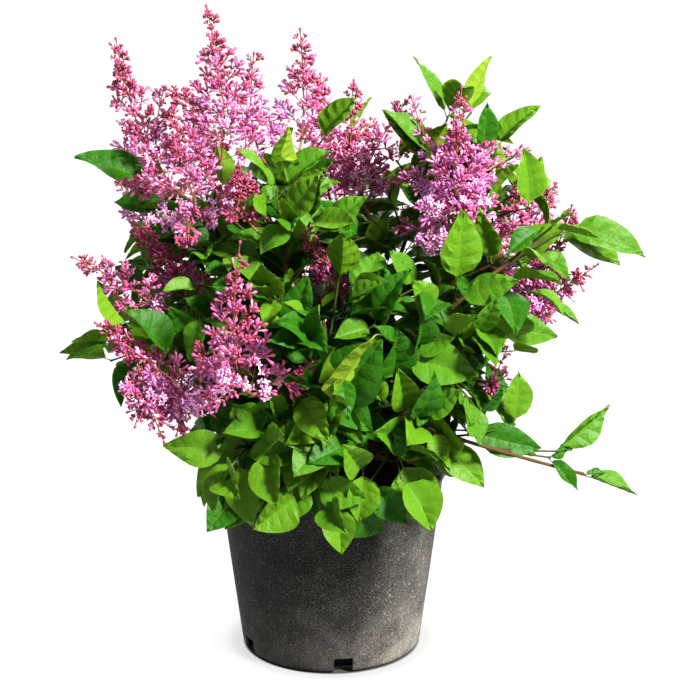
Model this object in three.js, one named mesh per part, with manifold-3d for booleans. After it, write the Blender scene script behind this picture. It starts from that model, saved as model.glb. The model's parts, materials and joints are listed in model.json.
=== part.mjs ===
// A flowering lilac bush in a round nursery pot, in millimetres, with +Z up and the origin under the pot.
// The bush is built as a plant grows. Each cane or bough is one tapering limb. Its mass of leaves starts
// just beyond its tip: a stem, twigs that branch from the stem by a seeded rule, and leaves in opposite
// pairs that turn by a quarter from pair to pair. Each bloom is a flowering twig with its blossom.
import * as THREE from "three";
import { mergeVertices } from "three/addons/utils/BufferGeometryUtils.js";
import Module from "manifold-3d";

const wasm = await Module();
wasm.setup();

// ---- Driving dimensions ----

const GAP = 0.3; // clear distance between touching pieces
const POT = {
  height: 200,
  baseRadius: 95.5,
  topRadius: 121.5,
  heel: 7, // rounding of the outer bottom edge
  wall: 2.2,
  floor: 3,
  lipReach: 3,
  lipHeight: 6,
  sides: 32,
};
const NOTCH = {
  count: 5,
  width: 20,
  height: 13,
  corner: 4, // radius of its upper corners
  depth: 12, // how far in from the pot's edge it reaches
  first: -82, // the first notch's bearing, in degrees
};
const COMPOST = { top: 182, ledge: 17 }; // below the ledge it is narrower, clear of the notches

const CROWN_HEART = [0, 0, 300]; // leaves face away from this point, and up
const CANE = { footRadius: 5, tipRadius: 2.4, sides: 6, steps: 4, flare: 1.4, sunk: 8, rise: 0.25 };
const BOUGH = { footRadius: 3.4, tipRadius: 2.1, sides: 5, steps: 3, rise: 0.1 };
const STEM = { footRadius: 2.8, tipRadius: 2, sides: 3, steps: 3 };
const TWIG = { footRadius: 1.1, tipRadius: 0.9, sides: 3, steps: 1 };
const SIDE_STALK = { footRadius: 1.1, tipRadius: 0.9, sides: 3, steps: 1 };
const STALK = { footRadius: 1.8, tipRadius: 1.2, sides: 3, steps: 2 };

const LEAF = {
  widthShare: 0.52, // of its length
  widest: 0.42, // share of the length from root to widest place
  thick: 1.8,
  rootOffset: 0.1, // from the axis of its twig, so that the root lies inside the twig
  fold: 0.16, // rise of the edges over the midrib, as a share of the width
  shortest: 0.8, // of the shoot's leaf length
  longest: 1.15,
  youngest: 0.78, // size of the last pair on a twig, against the others
  pairSpacing: 34,
  lastPair: 0.97, // its share of the twig's length
  pairsOnTwig: 2, // the outermost pairs of each twig carry leaves here
  fuller: 1.28, // these leaves stand for more than their number
  turn: 0.5, // how far a leaf may stray round its twig, in radians
  outward: 0.35, // pull of a leaf away from the crown's heart
};
const SPREAD = { low: 72, high: 38 }; // angle of a leaf to its twig at the foot and the tip, in degrees
const SIDE_TWIG = { ahead: 0.45, lift: 0.45, turn: 0.8 }; // its pull along the stem and away from the heart
const BLOSSOM = {
  levelSpacing: 29,
  spread: 62, // angle of a side branch to its axis, in degrees
  closer: 0.35, // share of that angle lost from the foot of a panicle to its tip
  turn: 0.6, // how far a side branch may stray round its axis, in radians
  lowest: 0.62, // length of the lowest side branches, against the panicle's width
  narrowing: 0.7, // share of that length lost from the foot to the tip
  tipLength: 16,
  tipSunk: 2, // how far the tip reaches down over the end of the axis
  firstFork: 0.07, // where the second panicle leaves the first one's axis, and how far on the next one does
  forkSpacing: 0.15,
  plump: 0.4, // half thickness of a side branch, as a share of its length
  rootOffset: 0.1,
};
const SWELL = 0.45; // clearance kept round each leaf, twig and side branch

// Every cane or bough, with its mass of leaves. A cane's foot is its place on the compost. A bough's foot is
// the share of its parent's length at which it branches off. "tip" is the limb's tip, and "end" the end of
// the mass's stem. Each lead is a twig's end and the tip of the leaf that it carries furthest out.
const SHOOTS = [
  {
    name: "top_left", foot: [-22, 4], tip: [-86, 0, 372], end: [-128, 0, 500],
    leaf: 68, twigs: 4, reach: 62, room: 140, seed: 11,
    leads: [[-185, 2, 504, -261, 0, 530], [-166, 12, 470, -224, 14, 480]],
  },
  {
    name: "top_middle", foot: [-6, 14], tip: [-42, 30, 392], end: [-36, 30, 522],
    leaf: 66, twigs: 4, reach: 52, room: 110, seed: 12,
    leads: [[-8, 8, 546, 28, -2, 591], [-42, 2, 520, -36, -34, 566]],
  },
  {
    name: "top_right", foot: [8, 20], tip: [60, 50, 380], end: [112, 50, 538],
    leaf: 68, twigs: 4, reach: 54, room: 125, seed: 13,
    leads: [[122, 42, 565, 85, 50, 625], [148, 78, 563, 169, 90, 620], [104, 12, 518, 54, 0, 576]],
  },
  {
    name: "right_top", foot: [20, 6], tip: [116, 8, 380], end: [166, 22, 512],
    leaf: 68, twigs: 4, reach: 54, room: 120, seed: 14,
    leads: [[172, 30, 536, 218, 40, 575], [204, -28, 483, 195, -32, 545], [156, 14, 530, 160, 16, 584]],
  },
  {
    name: "right", foot: [14, -16], tip: [112, -56, 374], end: [212, -22, 446],
    leaf: 74, twigs: 4, reach: 56, room: 125, seed: 15,
    leads: [
      [238, -14, 456, 322, -20, 429], [232, 8, 448, 302, 16, 412],
      [182, 0, 421, 249, 0, 459], [126, -88, 419, 130, -92, 496],
    ],
  },
  {
    name: "left", foot: [-24, -14], tip: [-95, -38, 312], end: [-190, -46, 362],
    leaf: 68, twigs: 4, reach: 56, room: 120, seed: 16,
    leads: [
      [-211, -42, 364, -237, -40, 410], [-222, -58, 350, -268, -62, 332],
      [-146, -80, 344, -204, -74, 394],
    ],
  },
  {
    name: "back_left", foot: [-14, 24], tip: [-80, 72, 296], end: [-152, 118, 412],
    leaf: 72, twigs: 6, reach: 74, room: 162, seed: 17,
    leads: [
      [-190, 98, 340, -250, 108, 312], [-116, 168, 290, -142, 216, 250],
      [-182, 148, 448, -226, 176, 498],
    ],
  },
  {
    name: "back", foot: [4, 32], tip: [8, 85, 330], end: [10, 146, 446],
    leaf: 72, twigs: 6, reach: 72, room: 135, seed: 18,
    leads: [[-46, 178, 448, -82, 222, 482], [54, 186, 404, 92, 238, 394], [20, 140, 508, 44, 156, 566]],
  },
  {
    name: "back_right", foot: [20, 26], tip: [86, 76, 298], end: [168, 116, 406],
    leaf: 72, twigs: 4, reach: 74, room: 162, seed: 19,
    leads: [
      [206, 94, 352, 270, 98, 326], [138, 164, 292, 168, 212, 252],
      [196, 150, 448, 232, 172, 498],
    ],
  },
  {
    name: "upper_front", from: "top_left", foot: 0.55, tip: [-44, -48, 352], end: [-50, -60, 478],
    leaf: 68, twigs: 4, reach: 60, room: 115, seed: 21,
    leads: [[-46, -36, 506, 3, -32, 541], [-54, -44, 506, -92, -62, 551]],
  },
  {
    name: "front_middle", from: "left", foot: 0.42, tip: [-14, -76, 290], end: [-6, -116, 388],
    leaf: 76, twigs: 4, reach: 60, room: 120, seed: 22,
    leads: [[0, -140, 306, 52, -160, 382], [-16, -132, 350, -22, -142, 410]],
  },
  {
    name: "right_low", from: "right", foot: 0.62, tip: [104, -80, 322], end: [160, -74, 356],
    leaf: 74, twigs: 4, reach: 58, room: 115, seed: 23,
    leads: [[165, -70, 371, 231, -62, 357], [60, -130, 330, 66, -158, 392]],
  },
  {
    name: "low_right", from: "right", foot: 0.45, tip: [60, -92, 288], end: [256, -112, 227],
    leaf: 66, twigs: 0, reach: 40, room: 120, seed: 24,
    leads: [
      [258, -112, 226, 311, -110, 204], [230, -108, 250, 283, -80, 291], [222, -116, 246, 248, -136, 218],
      [186, -112, 280, 188, -110, 335], [140, -120, 276, 212, -122, 258],
    ],
  },
  {
    name: "front_right_low", from: "right", foot: 0.24, tip: [46, -70, 240], end: [76, -122, 258],
    leaf: 76, twigs: 4, reach: 52, room: 110, seed: 25,
    leads: [[70, -132, 250, 106, -142, 184], [36, -146, 226, 78, -162, 192]],
  },
  {
    name: "front_low", from: "left", foot: 0.2, tip: [0, -70, 238], end: [-8, -134, 258],
    leaf: 74, twigs: 4, reach: 50, room: 115, seed: 26,
    leads: [
      [-18, -160, 228, 38, -172, 222], [4, -164, 214, 12, -178, 166],
      [-30, -156, 222, -76, -174, 192], [-26, -150, 268, -40, -176, 232],
    ],
  },
  {
    name: "front_left_low", from: "left", foot: 0.32, tip: [-52, -66, 244], end: [-92, -130, 262],
    leaf: 74, twigs: 4, reach: 52, room: 110, seed: 27,
    leads: [
      [-94, -148, 266, -164, -152, 271], [-92, -152, 256, -75, -174, 194],
      [-90, -148, 222, -121, -170, 187],
    ],
  },
  {
    name: "back_low", from: "back", foot: 0.25, tip: [-6, 76, 240], end: [0, 146, 262],
    leaf: 76, twigs: 4, reach: 78, room: 130, seed: 28,
    leads: [[-52, 160, 246, -98, 190, 206], [56, 158, 246, 104, 184, 208], [4, 176, 232, 6, 206, 176]],
  },
];

// Every bloom: the shoot that it flowers on, where its stalk starts, and its panicles. A panicle is its tip,
// its width across the lowest side branches, and the bare share of its axis.
const BLOOMS = [
  {
    name: "outer_left", on: "top_left", foot: [-150, 6, 488],
    tips: [[-220, 30, 648, 66, 0.2], [-205, -42, 511, 50, 0.25]],
  },
  { name: "tallest", on: "top_left", foot: [-112, -4, 522], tips: [[-123, 0, 685, 88, 0.05]] },
  {
    name: "near_left", on: "top_left", foot: [-128, -46, 478],
    tips: [[-154, -75, 596, 80, 0.12], [-142, -120, 470, 54, 0.3]],
  },
  { name: "slim", on: "top_middle", foot: [-68, 46, 515], tips: [[-80, 55, 630, 50, 0.1]] },
  { name: "second_tallest", on: "top_middle", foot: [-34, 58, 520], tips: [[-31, 70, 653, 66, 0.08]] },
  { name: "dark", on: "upper_front", foot: [-72, -70, 468], tips: [[-87, -128, 547, 64, 0.2]] },
  { name: "small_middle", on: "upper_front", foot: [-10, -48, 392], tips: [[-28, -44, 464, 44, 0.2]] },
  {
    name: "right_of_middle", on: "top_right", foot: [46, 58, 450],
    tips: [[23, 90, 598, 54, 0.12], [82, 62, 584, 58, 0.15]],
  },
  {
    name: "broad_right", on: "right_top", foot: [128, -14, 430],
    tips: [[132, -20, 607, 92, 0.1], [167, 12, 546, 54, 0.3]],
  },
  { name: "mid_right", on: "right_top", foot: [156, 6, 410], tips: [[197, 22, 509, 58, 0.12]] },
  {
    name: "outer_right", on: "right", foot: [190, 2, 374],
    tips: [[255, 40, 471, 58, 0.15], [274, -12, 429, 58, 0.15]],
  },
  {
    name: "small_right", on: "right_low", foot: [150, -84, 314],
    tips: [[180, -94, 356, 30, 0.25], [180, -96, 326, 28, 0.3]],
  },
  { name: "upper_left", on: "left", foot: [-146, -28, 380], tips: [[-202, -40, 473, 66, 0.12]] },
  { name: "outermost_left", on: "left", foot: [-172, -56, 378], tips: [[-260, -60, 441, 56, 0.08]] },
  {
    name: "low_left", on: "front_left_low", foot: [-114, -120, 290],
    tips: [[-230, -132, 392, 78, 0.08], [-200, -150, 306, 50, 0.3], [-152, -156, 282, 44, 0.3]],
  },
  {
    name: "front", on: "front_middle", foot: [-62, -148, 322],
    tips: [[-86, -160, 480, 92, 0.04], [-12, -166, 362, 50, 0.3], [-130, -168, 374, 50, 0.3]],
  },
  { name: "back_left_high", on: "back_left", foot: [-124, 92, 444], tips: [[-148, 122, 566, 68, 0.12]] },
  { name: "back_left_outer", on: "back_left", foot: [-172, 146, 404], tips: [[-238, 172, 474, 68, 0.12]] },
  {
    name: "back_high", on: "back", foot: [0, 116, 456],
    tips: [[-12, 138, 596, 74, 0.12], [48, 160, 544, 54, 0.3]],
  },
  { name: "back_outer", on: "back", foot: [8, 176, 424], tips: [[-4, 238, 518, 66, 0.12]] },
  { name: "back_right_high", on: "back_right", foot: [122, 90, 436], tips: [[142, 118, 560, 70, 0.12]] },
  { name: "back_right_outer", on: "back_right", foot: [190, 140, 398], tips: [[250, 166, 470, 66, 0.12]] },
  { name: "back_low", on: "back_low", foot: [-48, 156, 292], tips: [[-98, 222, 366, 60, 0.12]] },
];

const FINISH = {
  pot: { color: 0x34332f, roughness: 0.62, metalness: 0 },
  compost: { color: 0x2a1d14, roughness: 0.95, metalness: 0 },
  limb: { color: 0x6e5b45, roughness: 0.85, metalness: 0 },
  leaves: { color: 0x4c8a2b, roughness: 0.5, metalness: 0 },
  bloom: { color: 0xc66bb0, roughness: 0.6, metalness: 0 },
};

// ---- Vectors, random draws and solids ----

const UP = new THREE.Vector3(0, 0, 1);
const HEART = new THREE.Vector3(...CROWN_HEART);

function point(values) {
  return new THREE.Vector3(...values);
}

function radians(degrees) {
  return THREE.MathUtils.degToRad(degrees);
}

// The same draws for the same seed, each from 0 to 1.
function seeded(seed) {
  let state = (seed * 7919) % 4294967296;
  function draw() {
    state = (state * 1664525 + 1013904223) % 4294967296;
    return state / 4294967296;
  }
  draw();
  draw();
  return draw;
}

// A geometry's shared vertices merged, so that it is one closed surface.
function closed(geometry) {
  const bare = geometry.clone();
  bare.deleteAttribute("normal");
  bare.deleteAttribute("uv");
  return mergeVertices(bare, 1e-4);
}

function solidOf(geometry) {
  return new wasm.Manifold(
    new wasm.Mesh({
      numProp: 3,
      vertProperties: new Float32Array(geometry.attributes.position.array),
      triVerts: new Uint32Array(geometry.index.array),
    }),
  );
}

function geometryOf(solid) {
  const mesh = solid.getMesh();
  return new THREE.BufferGeometry()
    .setAttribute("position", new THREE.BufferAttribute(new Float32Array(mesh.vertProperties), 3))
    .setIndex(new THREE.BufferAttribute(new Uint32Array(mesh.triVerts), 1));
}

// A closed geometry with each of its vertices moved by a function.
function reshaped(geometry, move) {
  const made = geometry.clone();
  const places = made.attributes.position;
  const place = new THREE.Vector3();
  for (let i = 0; i < places.count; i++) {
    place.fromBufferAttribute(places, i);
    const moved = move(place);
    places.setXYZ(i, moved.x, moved.y, moved.z);
  }
  return made;
}

// Pieces joined into one body. Scraps that the joining leaves loose are dropped.
function fused(pieces) {
  let whole = pieces[0];
  for (const piece of pieces.slice(1)) whole = whole.add(piece);
  const bodies = whole.decompose().filter((body) => body.volume() > 0);
  bodies.sort((a, b) => b.volume() - a.volume());
  return bodies[0];
}

// Two directions square to a curve at a share of its length. They turn as little as the curve allows.
function across(curve, share) {
  const chord = curve.v2.clone().sub(curve.v0).normalize();
  const reference = Math.abs(chord.z) < 0.8 ? UP : new THREE.Vector3(0, -1, 0);
  const ahead = curve.getTangent(share);
  const side = new THREE.Vector3().crossVectors(ahead, reference).normalize();
  return [side, new THREE.Vector3().crossVectors(side, ahead).normalize()];
}

function outwards(place) {
  return new THREE.Vector3().subVectors(place, HEART).normalize();
}

// ---- Limbs, twigs, leaves and side branches of blossom ----

// A closed round bar that tapers along a curve: rings of vertices, and a flat cut at each end.
function taperingBar(curve, { footRadius, tipRadius, sides, steps, flare = 1 }, swell = 0) {
  const places = [];
  const faces = [];
  for (let step = 0; step <= steps; step++) {
    const widening = step === 0 ? flare : 1;
    const radius = THREE.MathUtils.lerp(footRadius, tipRadius, step / steps) * widening + swell;
    const [right, back] = across(curve, step / steps);
    for (let side = 0; side < sides; side++) {
      const angle = (2 * Math.PI * (side + 0.5)) / sides;
      const place = curve
        .getPoint(step / steps)
        .addScaledVector(right, radius * Math.cos(angle))
        .addScaledVector(back, -radius * Math.sin(angle));
      places.push(...place.toArray());
      if (step === steps) continue;
      const here = step * sides + side;
      const next = step * sides + ((side + 1) % sides);
      faces.push(here, next, next + sides, here, next + sides, here + sides);
    }
  }
  const last = steps * sides;
  for (let side = 1; side < sides - 1; side++) {
    faces.push(0, side + 1, side, last, last + side, last + side + 1);
  }
  const bar = new THREE.BufferGeometry();
  bar.setAttribute("position", new THREE.Float32BufferAttribute(places, 3));
  return solidOf(bar.setIndex(faces));
}

// The place on a bar's axis, which runs straight from ring to ring.
function onBar(curve, { steps }, share) {
  const step = Math.min(steps - 1, Math.floor(share * steps));
  const from = curve.getPoint(step / steps);
  return from.lerp(curve.getPoint((step + 1) / steps), share * steps - step);
}

const DIAMOND = closed(new THREE.OctahedronGeometry(1));
const SPINDLE = closed(new THREE.SphereGeometry(1, 3, 2).rotateZ(-Math.PI / 2)); // points along x

// A leaf runs along x from its root, lies across y and faces z. Its edges stand over its folded midrib.
function leafSolid(leaf, swell = 0) {
  const side = new THREE.Vector3().crossVectors(leaf.face, leaf.along).normalize();
  const halfWidth = (leaf.length * LEAF.widthShare) / 2 + 2 * swell;
  const halfThick = LEAF.thick / 2 + swell;
  const middle = LEAF.widest * leaf.length;
  return solidOf(
    reshaped(DIAMOND, ({ x, y, z }) => {
      const along = x > 0 ? leaf.length + swell : x < 0 ? LEAF.rootOffset : middle;
      return leaf.root
        .clone()
        .addScaledVector(leaf.along, along)
        .addScaledVector(side, y * halfWidth)
        .addScaledVector(leaf.face, z * halfThick + Math.abs(y) * 2 * LEAF.fold * halfWidth);
    }),
  );
}

// A side branch of a bloom, as a spindle round its florets.
function branchSolid(branch, swell = 0) {
  const side = new THREE.Vector3().crossVectors(branch.along, branch.ahead).normalize();
  const other = new THREE.Vector3().crossVectors(side, branch.along);
  const half = branch.length * BLOSSOM.plump + 2 * swell;
  return solidOf(
    reshaped(SPINDLE, ({ x, y, z }) => {
      const outer = branch.length + swell;
      const along = x > 0.5 ? outer : x < -0.5 ? BLOSSOM.rootOffset : 0.5 * branch.length;
      return branch.root
        .clone()
        .addScaledVector(branch.along, along)
        .addScaledVector(side, z * half)
        .addScaledVector(other, y * half);
    }),
  );
}

// ---- The rule of growth ----

// Leaf pairs along a twig, from its foot to its tip, each pair turned by a quarter against the last.
function leafPairs(curve, bar, size, draw, count) {
  const leaves = [];
  for (let pair = 0; pair < count; pair++) {
    const last = pair + 1 === count;
    const share = last ? LEAF.lastPair : (pair + 1) / count;
    const root = onBar(curve, bar, share);
    const ahead = curve.getTangent(share);
    const [side, other] = across(curve, share);
    const spread = radians(THREE.MathUtils.lerp(SPREAD.low, SPREAD.high, share));
    for (const half of [0, Math.PI]) {
      const angle = (pair * Math.PI) / 2 + half + LEAF.turn * (draw() - 0.5);
      const away = side.clone().multiplyScalar(Math.cos(angle)).addScaledVector(other, Math.sin(angle));
      const along = ahead
        .clone()
        .multiplyScalar(Math.cos(spread))
        .addScaledVector(away, Math.sin(spread))
        .addScaledVector(outwards(root), LEAF.outward);
      along.z += 0.3 * (draw() - 0.6);
      along.normalize();
      const grown = THREE.MathUtils.lerp(LEAF.shortest, LEAF.longest, draw());
      const length = size * grown * (last ? LEAF.youngest : 1);
      leaves.push({ root, along, length, face: facing(root, along, draw), pair });
    }
  }
  return leaves;
}

// The way a leaf's upper side faces: up and away from the crown's heart, a little at random.
function facing(root, along, draw) {
  const face = outwards(root).multiplyScalar(0.75).addScaledVector(UP, 0.6);
  face.x += 0.7 * (draw() - 0.5);
  face.y += 0.7 * (draw() - 0.5);
  face.z += 0.7 * (draw() - 0.5);
  return face.addScaledVector(along, -face.dot(along)).normalize();
}

function pairCount(curve) {
  return Math.max(1, Math.round(curve.getLength() / LEAF.pairSpacing));
}

function limbCurve(foot, tip, rise) {
  const bend = new THREE.Vector3().lerpVectors(foot, tip, 0.4);
  bend.z += rise * (tip.z - foot.z);
  return new THREE.QuadraticBezierCurve3(foot, bend, tip);
}

function stemCurve(shoot, limb) {
  const ahead = limb.getTangent(1);
  const start = limb.getPoint(1).addScaledVector(ahead, GAP);
  const end = point(shoot.end);
  const bend = start.clone().addScaledVector(ahead, 0.4 * start.distanceTo(end));
  return new THREE.QuadraticBezierCurve3(start, bend, end);
}

// A twig from the place of the stem that lies a little lower than the twig's end.
function twigTo(stem, end) {
  let best = 0.1;
  for (let share = 0.1; share <= 1; share += 0.05) {
    if (stem.getPoint(share).distanceTo(end) < stem.getPoint(best).distanceTo(end)) best = share;
  }
  const share = Math.max(0.06, best - 0.22);
  const start = onBar(stem, STEM, share);
  const bend = start.clone().addScaledVector(stem.getTangent(share), 0.3 * start.distanceTo(end));
  bend.lerp(new THREE.Vector3().lerpVectors(start, end, 0.55), 0.55);
  return new THREE.QuadraticBezierCurve3(start, bend, end);
}

// Side twigs in opposite pairs, each pair turned by a quarter against the last.
function sideTwigs(shoot, stem, draw) {
  const twigs = [];
  for (let number = 0; number < shoot.twigs; number++) {
    const pair = Math.floor(number / 2);
    const share = 0.2 + (0.75 * (pair + 0.5)) / Math.ceil(shoot.twigs / 2);
    const start = onBar(stem, STEM, share);
    const ahead = stem.getTangent(share);
    const [side, other] = across(stem, share);
    const turn = shoot.seed + SIDE_TWIG.turn * (draw() - 0.5);
    const angle = pair * (Math.PI / 2) + (number % 2) * Math.PI + turn;
    const way = ahead
      .clone()
      .multiplyScalar(SIDE_TWIG.ahead)
      .addScaledVector(side, Math.cos(angle))
      .addScaledVector(other, Math.sin(angle))
      .addScaledVector(outwards(start), SIDE_TWIG.lift)
      .normalize();
    const length = shoot.reach * (0.8 + 0.4 * draw());
    const bend = start.clone().addScaledVector(way, 0.5 * length);
    const end = start.clone().addScaledVector(way, length).addScaledVector(outwards(start), 0.15 * length);
    twigs.push(new THREE.QuadraticBezierCurve3(start, bend, end));
  }
  return twigs;
}

// ---- Pot and compost ----

function potWall(z) {
  return THREE.MathUtils.mapLinear(z, 0, POT.height, POT.baseRadius, POT.topRadius);
}

function potInside(z) {
  return potWall(z) - POT.wall;
}

function potOutline() {
  const lipFoot = POT.height - POT.lipHeight;
  const outline = new THREE.Path();
  outline.moveTo(0, 0);
  outline.lineTo(potWall(0) - POT.heel, 0);
  outline.quadraticCurveTo(potWall(0), 0, potWall(POT.heel), POT.heel);
  outline.lineTo(potWall(lipFoot), lipFoot);
  outline.lineTo(potWall(lipFoot) + POT.lipReach, lipFoot + 1);
  outline.lineTo(POT.topRadius + POT.lipReach, POT.height);
  outline.lineTo(potInside(POT.height), POT.height);
  outline.lineTo(potInside(POT.floor), POT.floor);
  outline.lineTo(0, POT.floor);
  return outline.getPoints(3);
}

// An arched notch through the wall and the edge of the floor. It starts below the pot and outside it.
function notchSolid(bearing) {
  const half = NOTCH.width / 2;
  const shoulder = NOTCH.height - NOTCH.corner;
  const arch = new THREE.Shape();
  arch.moveTo(-half, -2);
  arch.lineTo(half, -2);
  arch.lineTo(half, shoulder);
  arch.absarc(half - NOTCH.corner, shoulder, NOTCH.corner, 0, Math.PI / 2, false);
  arch.absarc(NOTCH.corner - half, shoulder, NOTCH.corner, Math.PI / 2, Math.PI, false);
  const notch = new THREE.ExtrudeGeometry(arch, { depth: 30, bevelEnabled: false, curveSegments: 2 });
  notch.rotateX(Math.PI / 2);
  notch.translate(0, -(potWall(0) - NOTCH.depth), 0);
  notch.rotateZ(radians(bearing + 90));
  return solidOf(closed(notch));
}

function potSolid() {
  let pot = solidOf(closed(new THREE.LatheGeometry(potOutline(), POT.sides).rotateX(Math.PI / 2)));
  for (let i = 0; i < NOTCH.count; i++) {
    pot = pot.subtract(notchSolid(NOTCH.first + (i * 360) / NOTCH.count));
  }
  return pot;
}

function compostSolid() {
  const base = POT.floor + GAP;
  const radiusAt = (z) => potInside(z) - GAP;
  const foot = radiusAt(COMPOST.ledge) - NOTCH.depth;
  const outline = [
    [0, base],
    [foot, base],
    [foot, COMPOST.ledge],
    [radiusAt(COMPOST.ledge), COMPOST.ledge],
    [radiusAt(COMPOST.top), COMPOST.top],
    [0, COMPOST.top],
  ];
  const points = outline.map(([radius, z]) => new THREE.Vector2(radius, z));
  return solidOf(closed(new THREE.LatheGeometry(points, POT.sides).rotateX(Math.PI / 2)));
}

// ---- Assembly ----

const lilacBush = new THREE.Group();
const placed = []; // every solid so far, with the node that it belongs to
const nodes = new Map();

function boxOf(solid) {
  const { min, max } = solid.boundingBox();
  return new THREE.Box3(point(min), point(max));
}

function place(node, kind, solid) {
  placed.push({ node, solid, box: boxOf(solid) });
  if (!nodes.has(node)) nodes.set(node, { kind, pieces: [] });
  nodes.get(node).pieces.push(solid);
}

// Whether a solid, swollen by its clearance, meets a piece of another node.
function meetsAnother(node, swollen) {
  const box = boxOf(swollen);
  const others = placed.filter((other) => other.node !== node && other.box.intersectsBox(box));
  return others.some((other) => !swollen.intersect(other.solid).isEmpty());
}

function meetsOwn(node, solid) {
  const box = boxOf(solid);
  const own = placed.filter((other) => other.node === node && other.leafy);
  return own.some((other) => other.box.intersectsBox(box) && !solid.intersect(other.solid).isEmpty());
}

// Adds a piece where it touches nothing of another node, and says whether it did.
function grow(node, kind, make, leafy = false) {
  if (meetsAnother(node, make(SWELL))) return false;
  const solid = make(0);
  if (leafy && meetsOwn(node, solid)) return false;
  place(node, kind, solid);
  placed.at(-1).leafy = leafy;
  return true;
}

place("pot", "pot", potSolid());
place("compost", "compost", compostSolid());

const limbs = new Map();
for (const shoot of SHOOTS) {
  if (shoot.from) continue;
  const foot = point([...shoot.foot, COMPOST.top - CANE.sunk]);
  limbs.set(shoot.name, limbCurve(foot, point(shoot.tip), CANE.rise));
}
for (const shoot of SHOOTS) {
  if (!shoot.from) continue;
  const foot = limbs.get(shoot.from).getPoint(shoot.foot);
  limbs.set(shoot.name, limbCurve(foot, point(shoot.tip), BOUGH.rise));
}

// A cane is cut flat at the compost, and a bough is cut clear of the cane that carries it.
function aboveCompost(solid) {
  const slab = new THREE.BoxGeometry(400, 400, 100); // larger than the compost
  slab.translate(0, 0, COMPOST.top + GAP - 50);
  return solid.subtract(solidOf(closed(slab)));
}

for (const shoot of SHOOTS) {
  const curve = limbs.get(shoot.name);
  if (shoot.from) {
    const parent = taperingBar(limbs.get(shoot.from), CANE, GAP);
    place("bough_" + shoot.name, "limb", fused([taperingBar(curve, BOUGH).subtract(parent)]));
  } else {
    place("cane_" + shoot.name, "limb", aboveCompost(taperingBar(curve, CANE)));
  }
}

// Stems, then the twigs to the leads and blooms, so that they come before what only fills the crown.
const leafBearing = [];
for (const shoot of SHOOTS) {
  shoot.node = "leaves_" + shoot.name;
  shoot.stem = stemCurve(shoot, limbs.get(shoot.name));
  place(shoot.node, "leaves", taperingBar(shoot.stem, STEM));
  leafBearing.push({ shoot, curve: shoot.stem, bar: STEM, seed: shoot.seed });
}

function growTwig(shoot, curve, seed, lead) {
  if (!grow(shoot.node, "leaves", (swell) => taperingBar(curve, TWIG, swell))) return false;
  leafBearing.push({ shoot, curve, bar: TWIG, seed, lead });
  return true;
}

for (const bloom of BLOOMS) {
  const shoot = SHOOTS.find(({ name }) => name === bloom.on);
  const twig = twigTo(shoot.stem, point(bloom.foot));
  bloom.grows = growTwig(shoot, twig, 500 + BLOOMS.indexOf(bloom));
  bloom.start = twig.getPoint(1).addScaledVector(twig.getTangent(1), GAP);
  bloom.ahead = twig.getTangent(1);
}
for (const shoot of SHOOTS) {
  shoot.leads.forEach((lead, number) => {
    const end = point(lead.slice(0, 3));
    growTwig(shoot, twigTo(shoot.stem, end), shoot.seed * 100 + 50 + number, point(lead.slice(3)));
  });
}

// A panicle: its axis, opposite side branches that shorten to the tip, and the tip itself.
function growPanicle({ node, axis, bar, width, bare, draw }) {
  const levels = Math.max(2, Math.round(((1 - bare) * axis.getLength()) / BLOSSOM.levelSpacing));
  for (let level = 0; level < levels; level++) {
    const height = level / levels; // of the flowering part
    const share = bare + (1 - bare) * height;
    const root = onBar(axis, bar, share);
    const ahead = axis.getTangent(share);
    const [side, other] = across(axis, share);
    const spread = radians(BLOSSOM.spread * (1 - BLOSSOM.closer * height));
    for (const half of [0, Math.PI]) {
      const angle = (level * Math.PI) / 2 + half + BLOSSOM.turn * (draw() - 0.5);
      const along = ahead
        .clone()
        .multiplyScalar(Math.cos(spread))
        .addScaledVector(side, Math.cos(angle) * Math.sin(spread))
        .addScaledVector(other, Math.sin(angle) * Math.sin(spread));
      const lowest = BLOSSOM.lowest * width * (0.85 + 0.3 * draw());
      const length = lowest * (1 - BLOSSOM.narrowing * height);
      const branch = { root, along, length, ahead };
      grow(node, "bloom", (swell) => branchSolid(branch, swell), true);
    }
  }
  const along = axis.getTangent(1);
  const root = axis.getPoint(1).addScaledVector(along, -BLOSSOM.tipSunk);
  const tip = { root, along, length: BLOSSOM.tipLength, ahead: across(axis, 1)[0] };
  grow(node, "bloom", (swell) => branchSolid(tip, swell));
}

// The first panicle of a bloom goes on from its twig, and the others branch off the first one's axis.
const panicles = [];
for (const bloom of BLOOMS) {
  if (!bloom.grows) continue;
  const node = "bloom_" + bloom.name;
  const draw = seeded(700 + BLOOMS.indexOf(bloom));
  let start = bloom.start;
  let ahead = bloom.ahead;
  let main;
  bloom.tips.forEach(([x, y, z, width, bare], number) => {
    if (main) {
      const share = BLOSSOM.firstFork + BLOSSOM.forkSpacing * (number - 1);
      start = onBar(main, STALK, share);
      ahead = main.getTangent(share);
    }
    const end = point([x, y, z]);
    end.addScaledVector(end.clone().sub(start).normalize(), BLOSSOM.tipSunk - BLOSSOM.tipLength);
    const bend = start.clone().addScaledVector(ahead, 0.35 * start.distanceTo(end));
    const axis = new THREE.QuadraticBezierCurve3(start, bend, end);
    main ??= axis;
    const bar = number ? SIDE_STALK : STALK;
    place(node, "bloom", taperingBar(axis, bar));
    panicles.push({ node, axis, bar, width, bare, draw });
  });
}

// Leaves: the lead leaves first, and the outer pairs of every twig at the end.
function growLeaf(shoot, leaf) {
  const tip = leaf.root.clone().addScaledVector(leaf.along, leaf.length);
  const stem = new THREE.Line3(shoot.stem.getPoint(0), shoot.stem.getPoint(1));
  const nearest = stem.closestPointToPoint(tip, true, new THREE.Vector3());
  if (nearest.distanceTo(tip) > shoot.room) return false;
  return grow(shoot.node, "leaves", (swell) => leafSolid(leaf, swell), true);
}

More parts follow.
